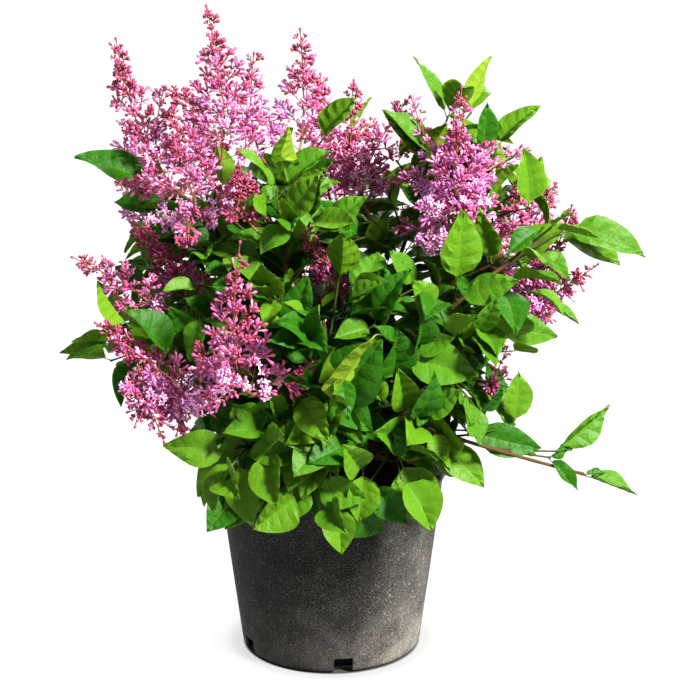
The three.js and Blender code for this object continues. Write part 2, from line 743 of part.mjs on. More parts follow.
for (const { shoot, curve, seed, lead } of leafBearing) {
  if (!lead) continue;
  const root = onBar(curve, TWIG, 0.97);
  const along = lead.clone().sub(root);
  const length = along.length();
  along.normalize();
  growLeaf(shoot, { root, along, length, face: facing(root, along, seeded(seed)) });
}

for (const panicle of panicles) growPanicle(panicle);

for (const shoot of SHOOTS) {
  const draw = seeded(shoot.seed);
  sideTwigs(shoot, shoot.stem, draw).forEach((twig, number) => {
    growTwig(shoot, twig, shoot.seed * 100 + number);
  });
}

for (const { shoot, curve, bar, seed, lead } of leafBearing) {
  const draw = seeded(seed);
  const count = pairCount(curve);
  const leaves = leafPairs(curve, bar, shoot.leaf * LEAF.fuller, draw, count);
  leaves.forEach((leaf, number) => {
    const outer = leaf.pair >= count - LEAF.pairsOnTwig;
    const taken = lead && number === leaves.length - 1;
    if (outer && !taken) growLeaf(shoot, leaf);
  });
}

for (const [name, { kind, pieces }] of nodes) {
  const mesh = new THREE.Mesh(geometryOf(fused(pieces)), new THREE.MeshStandardMaterial(FINISH[kind]));
  mesh.name = name;
  lilacBush.add(mesh);
}

export default lilacBush;
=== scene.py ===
"""A flowering lilac bush in a round nursery pot.

The bush is grown by the rule of its solids and carried to finer twigs. Growth is worked out in
millimetres, with +Z up and the origin under the pot. Meshes are made in metres.
"""

import json
import math
from collections import namedtuple
from functools import lru_cache

import bpy
import numpy as np
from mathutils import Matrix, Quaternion, Vector, noise
from mathutils.bvhtree import BVHTree

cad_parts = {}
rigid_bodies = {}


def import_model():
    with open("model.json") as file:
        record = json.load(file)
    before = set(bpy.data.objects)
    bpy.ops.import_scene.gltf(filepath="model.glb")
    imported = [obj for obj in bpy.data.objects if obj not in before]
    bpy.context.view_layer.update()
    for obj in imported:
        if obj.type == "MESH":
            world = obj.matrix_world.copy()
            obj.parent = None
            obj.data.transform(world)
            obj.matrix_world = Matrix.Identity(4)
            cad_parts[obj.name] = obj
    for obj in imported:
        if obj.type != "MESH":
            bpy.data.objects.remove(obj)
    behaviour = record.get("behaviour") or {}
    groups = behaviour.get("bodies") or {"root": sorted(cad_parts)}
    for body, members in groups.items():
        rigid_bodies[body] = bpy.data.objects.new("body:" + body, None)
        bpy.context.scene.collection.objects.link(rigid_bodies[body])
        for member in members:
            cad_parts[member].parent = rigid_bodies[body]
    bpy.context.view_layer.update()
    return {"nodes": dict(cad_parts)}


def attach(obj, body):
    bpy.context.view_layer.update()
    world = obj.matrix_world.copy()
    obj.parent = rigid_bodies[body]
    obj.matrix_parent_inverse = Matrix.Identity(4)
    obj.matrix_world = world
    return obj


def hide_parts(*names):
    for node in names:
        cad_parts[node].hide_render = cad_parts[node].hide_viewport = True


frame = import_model()

bl_info = {
    "name": "Potted lilac bush",
    "version": (1, 0, 0),
    "blender": (4, 5, 0),
    "location": "View3D > Sidebar > Lilac",
    "description": "Grows a flowering lilac bush in a nursery pot",
    "category": "Add Mesh",
}

MM = 0.001
UP = Vector((0, 0, 1))

# ---- Driving dimensions, in millimetres ----

GAP = 0.3  # between the compost and the pot
POT = {
    "height": 200,
    "base": 95.5,  # outer radius at the foot
    "top": 121.5,
    "heel": 7,
    "wall": 2.2,
    "floor": 3,
    "lip": 3,
    "lip_height": 6,
    "sides": 128,
}
NOTCH = {"count": 5, "width": 20, "height": 17.5, "corner": 4, "depth": 12, "first": -82}
COMPOST_TOP = 182
CRUMBS = {"count": 900, "reach": 112}

HEART = Vector((0, 0, 300))  # leaves face away from this point, and up
# Half the crown's size from its heart: to either side, to front and back, up and down.
CROWN = {"side": 250, "front": 185, "up": 280, "down": 120}
Bar = namedtuple("Bar", "foot tip sides")  # radius at the foot and the tip
CANE = Bar(5, 2.4, 20)
BOUGH = Bar(3.4, 2.1, 16)
STEM = Bar(2.5, 1.5, 8)
TWIG = Bar(1.3, 0.9, 6)
FINE_TWIG = Bar(0.9, 0.6, 5)
AXIS = Bar(1.3, 0.5, 6)
BRANCH = Bar(0.55, 0.28, 3)
CANE_SUNK = 8  # how deep a cane's foot stands in the compost
CANE_RISE = 0.25  # how far a limb's bend is lifted, as a share of its height
BOUGH_RISE = 0.1

PAIR_SPACING = 34  # between leaf pairs along a twig
LAST_PAIR = 0.97  # share of the twig's length
SPREAD_LOW = math.radians(72)  # between a twig and its leaves, at its foot and at its tip
SPREAD_HIGH = math.radians(38)
# Length of leaves against their shoot's leaf, by rank: stems and leads, side twigs, finer twigs, spurs.
LEAF_SIZES = (1.06, 1.06, 1, 0.85)
# Reach of the twigs that the solids don't have, against that of their shoot's side twigs.
FINER_REACH, FINEST_REACH, SPUR_REACH = 0.8, 0.42, 0.6
# How far a side twig leans along its stem and lifts out of the crown, and how far it may stray round
# the stem, in radians.
SIDE_TWIG = {"ahead": 0.45, "lift": 0.45, "turn": 0.8}
BLOSSOM = {
    "level_low": 18.5,  # between pairs of side branches at a panicle's foot
    "level_high": 4.9,  # and at its tip
    "spread": math.radians(62),  # between the axis and its lowest side branches
    "closer": 0.35,  # the share of that angle that is lost on the way to the tip
    "turn": 0.6,  # how far a side branch may stray round the axis, in radians
    "lowest": 0.62,  # reach of the lowest side branches, as a share of the panicle's width
    "narrowing": 0.7,  # the share of that reach that is lost on the way to the tip
    "spike": 0.74,  # about where the side branches pass into short stalks of buds
    "first_fork": 0.07,  # share of the first axis at which the second forks off
    "fork": 0.15,  # how much further on each later one does
    "tip": 6,  # how far the last buds reach past the end of the axis
    "floret": 7,  # how far florets reach past the end of a side branch
}
# How ripe a floret is when it opens, and when its tube grows.
OPENS, GROWS = 0.66, 0.18

# Where leaves may stand: clear of the pot, thinner over the rim in front and high on the right, and
# out of the blossom and of what hides it.
POT_ROOM = {"over_rim": 3, "beside": 5, "over_compost": 4}
SKIRT = {"below": 245, "before": -60}
CREST = {"above": 530, "right_of": 40}
THINNED = 0.65  # the share that is left out there
BLOSSOM_ROOM = {"within": 0.8, "beside": 0.75, "before": 110}  # two shares of its reach, and mm
OPEN_TO_FRONT = 80  # leads that end nearer to the front than this y lie open to it

# A leaf's width against the usual one: round up to a height, usual a fade above it, and slender in
# the corner of the low right shoot.
ROUND = {"width": 1.25, "below": 220, "fade": 160}
SLENDER = {"width": 0.86, "right_of": 130, "before": -60, "below": 279}

# Shades: the depth within which leaves take the crown's painted shade, the marks up to which the others are
# bright and fresh, from a random draw painted darker towards the heart, the height above which a share of
# the last ones is young, and the height from which all are painted lighter as if in sun.
INNER_DEPTH = 0.6
BRIGHT_BELOW, FRESH_BELOW = 0.35, 0.8
YOUNG = {"above": 430, "share": 0.12}
PAINTED_SUN = {"above": 470, "fade": 60, "painted_lighter": 0.25}

# Where the seeds of each kind of draw start. The first five are added to a hundred times a shoot's
# seed, and the others to the seed or number of what is drawn.
SEED = {
    "side_twig": 0,
    "finer_twig": 20,
    "finest_twig": 30,
    "lead_twig": 50,
    "spur": 70,
    "finer_twigs": 300,
    "finest_twigs": 400,
    "flowering_twig": 500,
    "panicle": 700,
    "shown_leaf": 900,
    "florets": 900,
    "leaf_shape": 3000,
    "thinning": 7000,
    "crumbs": 61,
}

# A shoot is a cane from the compost, or a bough from a share of its parent's length. Its limb ends at
# the tip and its stem at the end. Then come its leaves' length, its number of side twigs and their
# reach, how far leaves may stand from it, its seed, and its leads: each the end of a twig, and the tip
# of the leaf that the twig carries there.
Shoot = namedtuple("Shoot", "name parent foot tip end leaf twigs reach room seed leads")
SHOOTS = [
    Shoot("top_left", None, (-22, 4), (-86, 0, 372), (-128, 0, 500), 68, 4, 62, 140, 11,
          [(-185, 2, 504, -261, 0, 530), (-166, 12, 470, -224, 14, 480)]),
    Shoot("top_middle", None, (-6, 14), (-42, 30, 392), (-36, 30, 522), 66, 4, 52, 110, 12,
          [(-8, 8, 546, 28, -2, 591), (-42, 2, 520, -36, -34, 566)]),
    Shoot("top_right", None, (8, 20), (60, 50, 380), (112, 50, 538), 68, 4, 54, 125, 13,
          [(122, 42, 565, 85, 50, 625), (148, 78, 563, 169, 90, 620), (104, 12, 518, 54, 0, 576)]),
    Shoot("right_top", None, (20, 6), (116, 8, 380), (166, 22, 512), 68, 4, 54, 120, 14,
          [(172, 30, 536, 218, 40, 575), (204, -28, 483, 195, -32, 545), (156, 14, 530, 160, 16, 584)]),
    Shoot("right", None, (14, -16), (112, -56, 374), (212, -22, 446), 74, 4, 56, 125, 15,
          [(238, -14, 456, 322, -20, 429), (232, 8, 448, 302, 16, 412),
           (182, 0, 421, 249, 0, 459), (126, -88, 419, 130, -92, 496)]),
    Shoot("left", None, (-24, -14), (-95, -38, 312), (-190, -46, 362), 68, 4, 56, 120, 16,
          [(-211, -42, 364, -237, -40, 410), (-222, -58, 350, -268, -62, 332),
           (-146, -80, 344, -204, -74, 394)]),
    Shoot("back_left", None, (-14, 24), (-80, 72, 296), (-152, 118, 412), 72, 6, 74, 162, 17,
          [(-190, 98, 340, -250, 108, 312), (-116, 168, 290, -142, 216, 250),
           (-182, 148, 448, -226, 176, 498)]),
    Shoot("back", None, (4, 32), (8, 85, 330), (10, 146, 446), 72, 6, 72, 135, 18,
          [(-46, 178, 448, -82, 222, 482), (54, 186, 404, 92, 238, 394), (20, 140, 508, 44, 156, 566)]),
    Shoot("back_right", None, (20, 26), (86, 76, 298), (168, 116, 406), 72, 4, 74, 162, 19,
          [(206, 94, 352, 270, 98, 326), (138, 164, 292, 168, 212, 252),
           (196, 150, 448, 232, 172, 498)]),
    Shoot("upper_front", "top_left", 0.55, (-44, -48, 352), (-50, -60, 478), 68, 4, 60, 115, 21,
          [(-46, -36, 506, 3, -32, 541), (-54, -44, 506, -92, -62, 551)]),
    Shoot("front_middle", "left", 0.42, (-14, -76, 290), (-6, -116, 388), 76, 4, 60, 120, 22,
          [(0, -140, 306, 52, -160, 382), (-16, -132, 350, -22, -142, 410)]),
    Shoot("right_low", "right", 0.62, (104, -80, 322), (160, -74, 356), 74, 4, 58, 115, 23,
          [(165, -70, 371, 231, -62, 357), (60, -130, 330, 66, -158, 392)]),
    Shoot("low_right", "right", 0.45, (60, -92, 288), (256, -112, 227), 66, 0, 40, 120, 24,
          [(258, -112, 226, 311, -110, 204), (230, -108, 250, 283, -80, 291),
           (222, -116, 246, 248, -136, 218), (186, -112, 280, 188, -110, 335),
           (140, -120, 276, 212, -122, 258)]),
    Shoot("front_right_low", "right", 0.24, (46, -70, 240), (76, -122, 258), 76, 4, 52, 110, 25,
          [(70, -132, 250, 106, -142, 184), (36, -146, 226, 78, -162, 192)]),
    Shoot("front_low", "left", 0.2, (0, -70, 238), (-8, -134, 258), 74, 4, 50, 115, 26,
          [(-18, -160, 228, 38, -172, 222), (4, -164, 214, 12, -178, 166),
           (-30, -156, 222, -76, -174, 192), (-26, -150, 268, -40, -176, 232)]),
    Shoot("front_left_low", "left", 0.32, (-52, -66, 244), (-92, -130, 262), 74, 4, 52, 110, 27,
          [(-94, -148, 266, -164, -152, 271), (-92, -152, 256, -75, -174, 194),
           (-90, -148, 222, -121, -170, 187)]),
    Shoot("back_low", "back", 0.25, (-6, 76, 240), (0, 146, 262), 76, 4, 78, 130, 28,
          [(-52, 160, 246, -98, 190, 206), (56, 158, 246, 104, 184, 208), (4, 176, 232, 6, 206, 176)]),
]

# Leaves that stand out, each on a twig of its own: its shoot, root, tip and shade, which paints partly its
# own colour and partly the light or shade it stands in, and how far it is rolled over, in degrees.
Shown = namedtuple("Shown", "shoot root tip shade roll", defaults=(0,))
SHOWN = [Shown(*row) for row in (
    ("top_middle", (-31, -38, 532), (-39, -60, 571), "young"),
    ("upper_front", (-45, -78, 481), (-8, -92, 532), "bright"),
    ("upper_front", (-62, -86, 483), (-77, -104, 513), "bright"),
    ("upper_front", (-38, -92, 480), (-67, -122, 457), "fresh"),
    ("upper_front", (35, -60, 460), (-14, -76, 501), "deep"),
    ("top_right", (108, 8, 525), (52, -4, 579), "fresh"),
    ("top_right", (68, 34, 520), (102, 26, 554), "young"),
    ("front_middle", (45, -118, 384), (4, -140, 377), "fresh"),
    ("right_low", (107, -100, 398), (80, -118, 430), "bright"),
    ("right_low", (126, -98, 406), (187, -112, 429), "fresh"),
    ("right_low", (121, -112, 374), (159, -126, 393), "bright"),
    ("right_low", (79, -122, 361), (123, -136, 377), "fresh"),
    ("right_low", (67, -128, 356), (145, -150, 345), "fresh"),
    ("right_low", (169, -92, 355), (143, -110, 372), "bright"),
    ("front_middle", (77, -130, 295), (67, -152, 351), "bright"),
    ("front_middle", (59, -128, 306), (34, -146, 333), "bright"),
    ("low_right", (87, -132, 299), (130, -150, 327), "fresh"),
    ("front_middle", (0, -176, 314), (50, -198, 398), "young", -112),
    ("front_middle", (-23, -128, 310), (9, -146, 364), "deep"),
    ("front_middle", (9, -138, 309), (34, -168, 277), "fresh"),
    ("left", (-202, -84, 373), (-229, -100, 423), "bright"),
    ("left", (-153, -104, 349), (-203, -124, 401), "deep", -25),
    ("left", (-132, -74, 413), (-166, -92, 412), "bright"),
    ("left", (-132, -84, 359), (-159, -98, 398), "deep"),
    ("left", (-128, -96, 392), (-138, -116, 346), "fresh"),
    ("upper_front", (-98, -70, 432), (-125, -90, 432), "deep"),
    ("front_middle", (-37, -122, 378), (-20, -128, 437), "deep"),
    ("front_left_low", (-70, -140, 299), (-95, -158, 316), "fresh"),
    ("front_left_low", (-49, -142, 297), (-60, -160, 331), "bright"),
    ("front_left_low", (-62, -140, 282), (-104, -168, 289), "fresh"),
    ("front_low", (-1, -148, 266), (9, -170, 246), "bright"),
    ("front_right_low", (78, -140, 294), (67, -162, 261), "deep"),
    ("low_right", (105, -140, 282), (111, -160, 253), "bright"),
    ("right_top", (164, -50, 431), (149, -66, 491), "bright", -60),
    ("right", (216, -40, 466), (178, -60, 440), "deep"),
    ("right", (226, -22, 461), (246, -36, 479), "bright"),
    ("right", (210, -30, 436), (242, -46, 412), "fresh"),
    ("right_top", (168, 4, 488), (192, -10, 523), "fresh"),
    ("right_top", (158, 2, 524), (175, -8, 535), "bright"),
    ("right_top", (100, -6, 478), (70, -16, 502), "deep"),
    ("left", (-105, -70, 403), (-128, -88, 420), "bright"),
    ("left", (-114, -76, 380), (-145, -92, 405), "deep"),
    ("front_middle", (-89, -96, 368), (-124, -110, 387), "deep"),
    ("left", (-156, -70, 365), (-134, -84, 388), "fresh"),
    ("front_middle", (73, -84, 400), (47, -100, 437), "deep"),
    ("front_middle", (56, -100, 374), (72, -114, 412), "fresh"),
    ("front_middle", (91, -80, 415), (59, -92, 454), "fresh"),
    ("front_middle", (36, -92, 403), (57, -104, 445), "deep"),
    ("right_low", (151, -120, 291), (170, -130, 325), "deep"),
    ("upper_front", (-99, -70, 459), (-67, -92, 442), "deep"),
    ("right_low", (88, -26, 262), (118, -20, 240), "fresh"),
    ("back_right", (84, 12, 276), (124, 30, 262), "deep"),
    ("back_right", (78, 44, 250), (112, 64, 228), "fresh"),
    ("front_right_low", (78, -52, 240), (108, -62, 214), "fresh"),
    ("back_right", (74, 18, 236), (112, 16, 214), "deep"),
    ("right_low", (98, -6, 300), (134, 8, 290), "fresh"),
    ("back_right", (92, 40, 296), (130, 52, 280), "bright"),
    ("back", (45, 70, 405), (85, 50, 435), "deep"),
    ("top_right", (85, 70, 375), (122, 50, 400), "deep"),
    ("top_middle", (-40, 66, 390), (-4, 50, 418), "deep"),
    ("back", (-35, 70, 345), (2, 50, 368), "deep"),
    ("back", (62, 74, 360), (98, 56, 384), "deep"),
    ("back", (-5, 70, 335), (32, 56, 358), "deep"),
)]

# The shade of leads that lie in full sun, in shade or with their pale side up, by tip.
LEAD_SHADES = {
    "bright": {(-164, -152, 271), (-75, -174, 194), (12, -178, 166), (106, -142, 184), (302, 16, 412),
               (218, 40, 575), (195, -32, 545), (130, -92, 496), (-237, -40, 410), (188, -110, 335),
               (28, -2, 591)},
    "fresh": {(38, -172, 222), (322, -20, 429), (85, 50, 625), (311, -110, 204), (283, -80, 291),
              (231, -62, 357), (3, -32, 541), (-268, -62, 332)},
    "deep": {(-121, -170, 187), (78, -162, 192), (-261, 0, 530), (-224, 14, 480), (160, 16, 584),
             (248, -136, 218), (212, -122, 258), (52, -160, 382)},
    "young": {(169, 90, 620)},
}
# Leads that are rolled over, by tip, in degrees.
LEAD_ROLLS = {(311, -110, 204): -40, (188, -110, 335): -35, (130, -92, 496): -22}

# The crown's openings as seen from the front, on the plane y = 0: x, z, half width and half height.
OPENINGS = [
    (-174, 188, 43, 38),
    (131, 157, 22, 28),
    (217, 294, 33, 28),
    (235, 156, 41, 29),
    (261, 486, 17, 16),
    (272, 377, 20, 25),
    (-238, 282, 20, 23),
    (-230, 460, 37, 27),
    (249, 522, 35, 29),
    (97, 576, 15, 14),
    (187, 204, 24, 10),
    (54, 186, 40, 22),
    (217, 262, 16, 34),
]
FRONT_EYE = Vector((21, -2100, 930))
LOWEST_LEAF = 176

# A bloom's tone says how its colours lie: "pink", "lilac" for older and paler, "dark" for tight buds.
# Each of its tips is x, y, z, the width of the panicle, and the share of its axis that is bare.
Bloom = namedtuple("Bloom", "name shoot foot tone tips")
BLOOMS = [
    Bloom("outer_left", "top_left", (-150, 6, 488), "pink",
          [(-220, 30, 648, 66, 0.2), (-205, -42, 511, 50, 0.25)]),
    Bloom("tallest", "top_left", (-112, -4, 522), "pink", [(-123, 0, 685, 88, 0.05)]),
    Bloom("near_left", "top_left", (-128, -46, 478), "pink",
          [(-154, -75, 596, 80, 0.12), (-142, -120, 470, 54, 0.3)]),
    Bloom("slim", "top_middle", (-68, 46, 515), "pink", [(-80, 55, 630, 50, 0.1)]),
    Bloom("second_tallest", "top_middle", (-34, 58, 520), "pink", [(-31, 70, 653, 66, 0.08)]),
    Bloom("dark", "upper_front", (-72, -70, 468), "dark", [(-87, -128, 547, 64, 0.2)]),
    Bloom("small_middle", "upper_front", (-10, -48, 392), "dark", [(-28, -44, 464, 44, 0.2)]),
    Bloom("right_of_middle", "top_right", (46, 58, 450), "pink",
          [(23, 80, 598, 46, 0.12), (82, 62, 584, 34, 0.3)]),
    Bloom("broad_right", "right_top", (128, -14, 430), "lilac",
          [(132, -20, 607, 92, 0.1), (167, 12, 546, 54, 0.3)]),
    Bloom("mid_right", "right_top", (156, 6, 410), "pink", [(197, 22, 509, 58, 0.12)]),
    Bloom("outer_right", "right", (190, 2, 374), "pink",
          [(255, 24, 471, 56, 0.15), (274, -44, 429, 56, 0.15)]),
    Bloom("small_right", "right_low", (150, -84, 314), "dark",
          [(180, -94, 356, 30, 0.25), (180, -96, 326, 28, 0.3)]),
    Bloom("upper_left", "left", (-146, -28, 380), "dark", [(-202, -40, 473, 66, 0.12)]),
    Bloom("outermost_left", "left", (-172, -56, 378), "pink", [(-260, -60, 441, 56, 0.08)]),
    Bloom("low_left", "front_left_low", (-114, -120, 290), "pink",
          [(-230, -132, 392, 78, 0.08), (-200, -150, 306, 50, 0.3), (-152, -156, 282, 44, 0.3)]),
    Bloom("front", "front_middle", (-62, -148, 322), "pink",
          [(-86, -160, 480, 92, 0.22), (-12, -166, 362, 50, 0.45), (-130, -168, 374, 50, 0.45)]),
    Bloom("back_left_high", "back_left", (-124, 92, 444), "pink", [(-148, 122, 566, 68, 0.12)]),
    Bloom("back_left_outer", "back_left", (-172, 146, 404), "lilac", [(-238, 172, 474, 68, 0.12)]),
    Bloom("back_high", "back", (0, 116, 456), "pink",
          [(-12, 138, 596, 74, 0.12), (48, 160, 544, 54, 0.3)]),
    Bloom("back_outer", "back", (8, 176, 424), "pink", [(-4, 238, 518, 66, 0.12)]),
    Bloom("back_right_high", "back_right", (122, 90, 436), "lilac", [(142, 118, 560, 70, 0.12)]),
    Bloom("back_right_outer", "back_right", (190, 140, 398), "pink", [(250, 166, 470, 66, 0.12)]),
    Bloom("back_low", "back_low", (-48, 156, 292), "pink", [(-98, 222, 366, 60, 0.12)]),
]

# Smaller panicles that fork off a bloom's first one: the bloom, then a tip as in BLOOMS. Where it has
# a sixth number, that is the share of the first one's axis at which the fork starts.
LESSER = [
    ("outer_left", (-171, 25, 599, 40, 0.4)),
    ("broad_right", (165, -10, 550, 46, 0.3)),
    ("broad_right", (204, 20, 538, 36, 0.45)),
    ("outer_right", (252, 20, 477, 30, 0.5)),
    ("outer_right", (231, -20, 360, 44, 0.4)),
    ("right_of_middle", (69, 60, 526, 36, 0.3)),
    ("right_of_middle", (92, 30, 489, 38, 0.35)),
    ("low_left", (-201, -150, 316, 44, 0.3)),
    ("upper_left", (-188, -50, 470, 44, 0.3)),
    ("low_left", (-192, -160, 292, 46, 0.5)),
    ("low_left", (-162, -164, 276, 40, 0.55)),
    ("outer_left", (-208, 10, 560, 44, 0.4)),
    ("tallest", (-160, -20, 604, 52, 0.3)),
    ("broad_right", (70, 10, 517, 46, 0.3, 0.3)),
    ("broad_right", (66, -20, 462, 44, 0.3, 0.12)),
    ("broad_right", (82, 22, 591, 34, 0.5, 0.07)),
    ("small_middle", (-25, -104, 478, 44, 0.2)),
    ("right_of_middle", (90, 34, 532, 38, 0.35)),
]


SHOOT_NAMED = {shoot.name: shoot for shoot in SHOOTS}


# ---- Random draws, vectors and curves ----


def seeded(seed):
    """A function that draws from 0 to 1, the same draws for the same seed."""
    state = seed * 7919 % 2**32

    def draw():
        nonlocal state
        state = (state * 1664525 + 1013904223) % 2**32
        return state / 2**32

    draw()
    draw()
    return draw


def mixed(low, high, share):
    return low + (high - low) * share


def clamped(value):
    return max(0, min(1, value))


def outwards(place):
    return (place - HEART).normalized()


def square_to(direction, along):
    """The part of a direction that stands square to another, at length 1."""
    return (direction - along * direction.dot(along)).normalized()


class Curve:
    """A quadratic curve from a foot over a bend to a tip."""

    def __init__(self, foot, bend, tip):
        self.foot, self.bend, self.tip = Vector(foot), Vector(bend), Vector(tip)

    def at(self, share):
        rest = 1 - share
        return rest * rest * self.foot + 2 * rest * share * self.bend + share * share * self.tip

    def ahead(self, share):
        way = (1 - share) * (self.bend - self.foot) + share * (self.tip - self.bend)
        return way.normalized()

    def across(self, share):
        """Two directions square to the curve. They turn as little as it allows."""
        chord = (self.tip - self.foot).normalized()
        reference = UP if abs(chord.z) < 0.8 else Vector((0, -1, 0))
        ahead = self.ahead(share)
        side = ahead.cross(reference).normalized()
        return side, side.cross(ahead).normalized()

    def away(self, share, angle):
        """The direction square to the curve at an angle round it."""
        side, other = self.across(share)
        return side * math.cos(angle) + other * math.sin(angle)

    def length(self, steps=16):
        places = [self.at(step / steps) for step in range(steps + 1)]
        return sum((after - before).length for before, after in zip(places, places[1:]))

    def nearest(self, place):
        """The share at which the curve comes nearest to a place, in twentieths."""
        return min((step / 20 for step in range(2, 21)), key=lambda s: (self.at(s) - place).length)


# ---- The rule of growth ----

Leaf = namedtuple("Leaf", "root along face length pair last")
Twig = namedtuple("Twig", "shoot curve bar seed lead rank shade roll", defaults=(None, 0))


def facing(root, along, draw):
    """The way a leaf's upper side faces: up and away from the crown's heart, a little at random."""
    face = outwards(root) * 0.75 + UP * 0.6
    face += 0.7 * Vector((draw() - 0.5, draw() - 0.5, draw() - 0.5))
    return square_to(face, along)


def leaf_pairs(curve, size, draw, count):
    """Leaf pairs from a twig's foot to its tip, each pair turned by a quarter against the last."""
    leaves = []
    for pair in range(count):
        last = pair + 1 == count
        share = LAST_PAIR if last else (pair + 1) / count
        root = curve.at(share)
        spread = mixed(SPREAD_LOW, SPREAD_HIGH, share)
        for half in (0, math.pi):
            away = curve.away(share, pair * math.pi / 2 + half + 0.5 * (draw() - 0.5))
            along = curve.ahead(share) * math.cos(spread) + away * math.sin(spread)
            along += outwards(root) * 0.35
            along.z += 0.3 * (draw() - 0.6)
            along.normalize()
            length = size * mixed(0.8, 1.15, draw()) * (0.78 if last else 1)
            leaves.append(Leaf(root, along, facing(root, along, draw), length, pair, last))
    return leaves


def limb_curve(foot, tip, rise):
    bend = foot.lerp(tip, 0.4)
    bend.z += rise * (tip.z - foot.z)
    return Curve(foot, bend, tip)


def stem_curve(shoot, limb):
    start = limb.at(1)
    end = Vector(shoot.end)
    return Curve(start, start + limb.ahead(1) * 0.4 * (end - start).length, end)


def twig_to(stem, end):
    """A twig from the place of the stem that lies a little lower than the twig's end."""
    share = max(0.06, stem.nearest(end) - 0.22)
    start = stem.at(share)
    bend = start + stem.ahead(share) * 0.3 * (end - start).length
    return Curve(start, bend.lerp(start.lerp(end, 0.55), 0.55), end)


def side_twigs(stem, count, reach, turned, draw, low=0.2, high=0.95):
    """Side twigs in opposite pairs, each pair turned by a quarter against the last."""
    twigs = []
    for number in range(count):
        pair = number // 2
        share = mixed(low, high, (pair + 0.5) / math.ceil(count / 2))
        start = stem.at(share)
        side, other = stem.across(share)
        angle = pair * math.pi / 2 + number % 2 * math.pi + turned
        angle += SIDE_TWIG["turn"] * (draw() - 0.5)
        way = stem.ahead(share) * SIDE_TWIG["ahead"] + side * math.cos(angle) + other * math.sin(angle)
        way = (way + outwards(start) * SIDE_TWIG["lift"]).normalized()
        length = reach * (0.8 + 0.4 * draw())
        end = start + way * length + outwards(start) * 0.15 * length
        twigs.append(Curve(start, start + way * 0.5 * length, end))
    return twigs


@lru_cache(maxsize=None)
def limbs():
    """The curve of every cane and bough, by the name of its shoot."""
    curves = {}
    for shoot in SHOOTS:
        if shoot.parent is None:
            foot = Vector((*shoot.foot, COMPOST_TOP - CANE_SUNK))
            curves[shoot.name] = limb_curve(foot, Vector(shoot.tip), CANE_RISE)
    for shoot in SHOOTS:
        if shoot.parent:
            foot = curves[shoot.parent].at(shoot.foot)
            curves[shoot.name] = limb_curve(foot, Vector(shoot.tip), BOUGH_RISE)
    return curves


@lru_cache(maxsize=None)
def stems():
    return {shoot.name: stem_curve(shoot, limbs()[shoot.name]) for shoot in SHOOTS}


def flowering_twig(bloom):
    return twig_to(stems()[bloom.shoot], Vector(bloom.foot))


@lru_cache(maxsize=None)
def twigs():
    """Every stem and twig that bears leaves. Those of the solids come first, then the finer ones."""
    settings = bpy.context.scene.lilac.leaves
    first, finer = [], []
    for shoot in SHOOTS:
        stem = stems()[shoot.name]
        first.append(Twig(shoot, stem, STEM, shoot.seed, None, 0))
        for number, lead in enumerate(shoot.leads):
            curve = twig_to(stem, Vector(lead[:3]))
            seed = shoot.seed * 100 + SEED["lead_twig"] + number
            shade = next((name for name, tips in LEAD_SHADES.items() if lead[3:] in tips), None)
            roll = LEAD_ROLLS.get(lead[3:], 0)
            first.append(Twig(shoot, curve, TWIG, seed, Vector(lead[3:]), 0, shade, roll))
        draw = seeded(shoot.seed)
        for number, curve in enumerate(side_twigs(stem, shoot.twigs, shoot.reach, shoot.seed, draw)):
            seed = shoot.seed * 100 + SEED["side_twig"] + number
            first.append(Twig(shoot, curve, TWIG, seed, None, 1))
        if not shoot.twigs:
            continue
        draw = seeded(shoot.seed + SEED["finer_twigs"])
        turned = shoot.seed + math.pi / 4
        more = side_twigs(stem, settings.finer_twigs, FINER_REACH * shoot.reach, turned, draw, 0.08, 0.9)
        for number, curve in enumerate(more):
            seed = shoot.seed * 100 + SEED["finer_twig"] + number
            finer.append(Twig(shoot, curve, FINE_TWIG, seed, None, 2))
        limb = limbs()[shoot.name]
        spurs = side_twigs(limb, settings.spurs, SPUR_REACH * shoot.reach, turned, draw, 0.3, 0.98)
        for number, curve in enumerate(spurs):
            seed = shoot.seed * 100 + SEED["spur"] + number
            finer.append(Twig(shoot, curve, FINE_TWIG, seed, None, 3))
    for index, bloom in enumerate(BLOOMS):
        shoot = SHOOT_NAMED[bloom.shoot]
        first.append(Twig(shoot, flowering_twig(bloom), TWIG, SEED["flowering_twig"] + index, None, 0))
    for twig in [twig for twig in first if twig.rank == 1]:
        draw = seeded(twig.seed + SEED["finest_twigs"])
        more = side_twigs(twig.curve, 2, FINEST_REACH * twig.shoot.reach, 0.8, draw, 0.3, 0.7)
        for number, curve in enumerate(more):
            seed = twig.seed + SEED["finest_twig"] + number
            finer.append(Twig(twig.shoot, curve, FINE_TWIG, seed, None, 2))
    for number, shown in enumerate(SHOWN):
        shoot = SHOOT_NAMED[shown.shoot]
        curve = twig_to(stems()[shoot.name], Vector(shown.root))
        lead = Vector(shown.tip)
        seed = SEED["shown_leaf"] + number
        finer.append(Twig(shoot, curve, TWIG, seed, lead, 1, shown.shade, shown.roll))
    return first + finer


# ---- Panicles ----

Panicle = namedtuple("Panicle", "bloom axis width bare draw")
Branch = namedtuple("Branch", "curve height second")


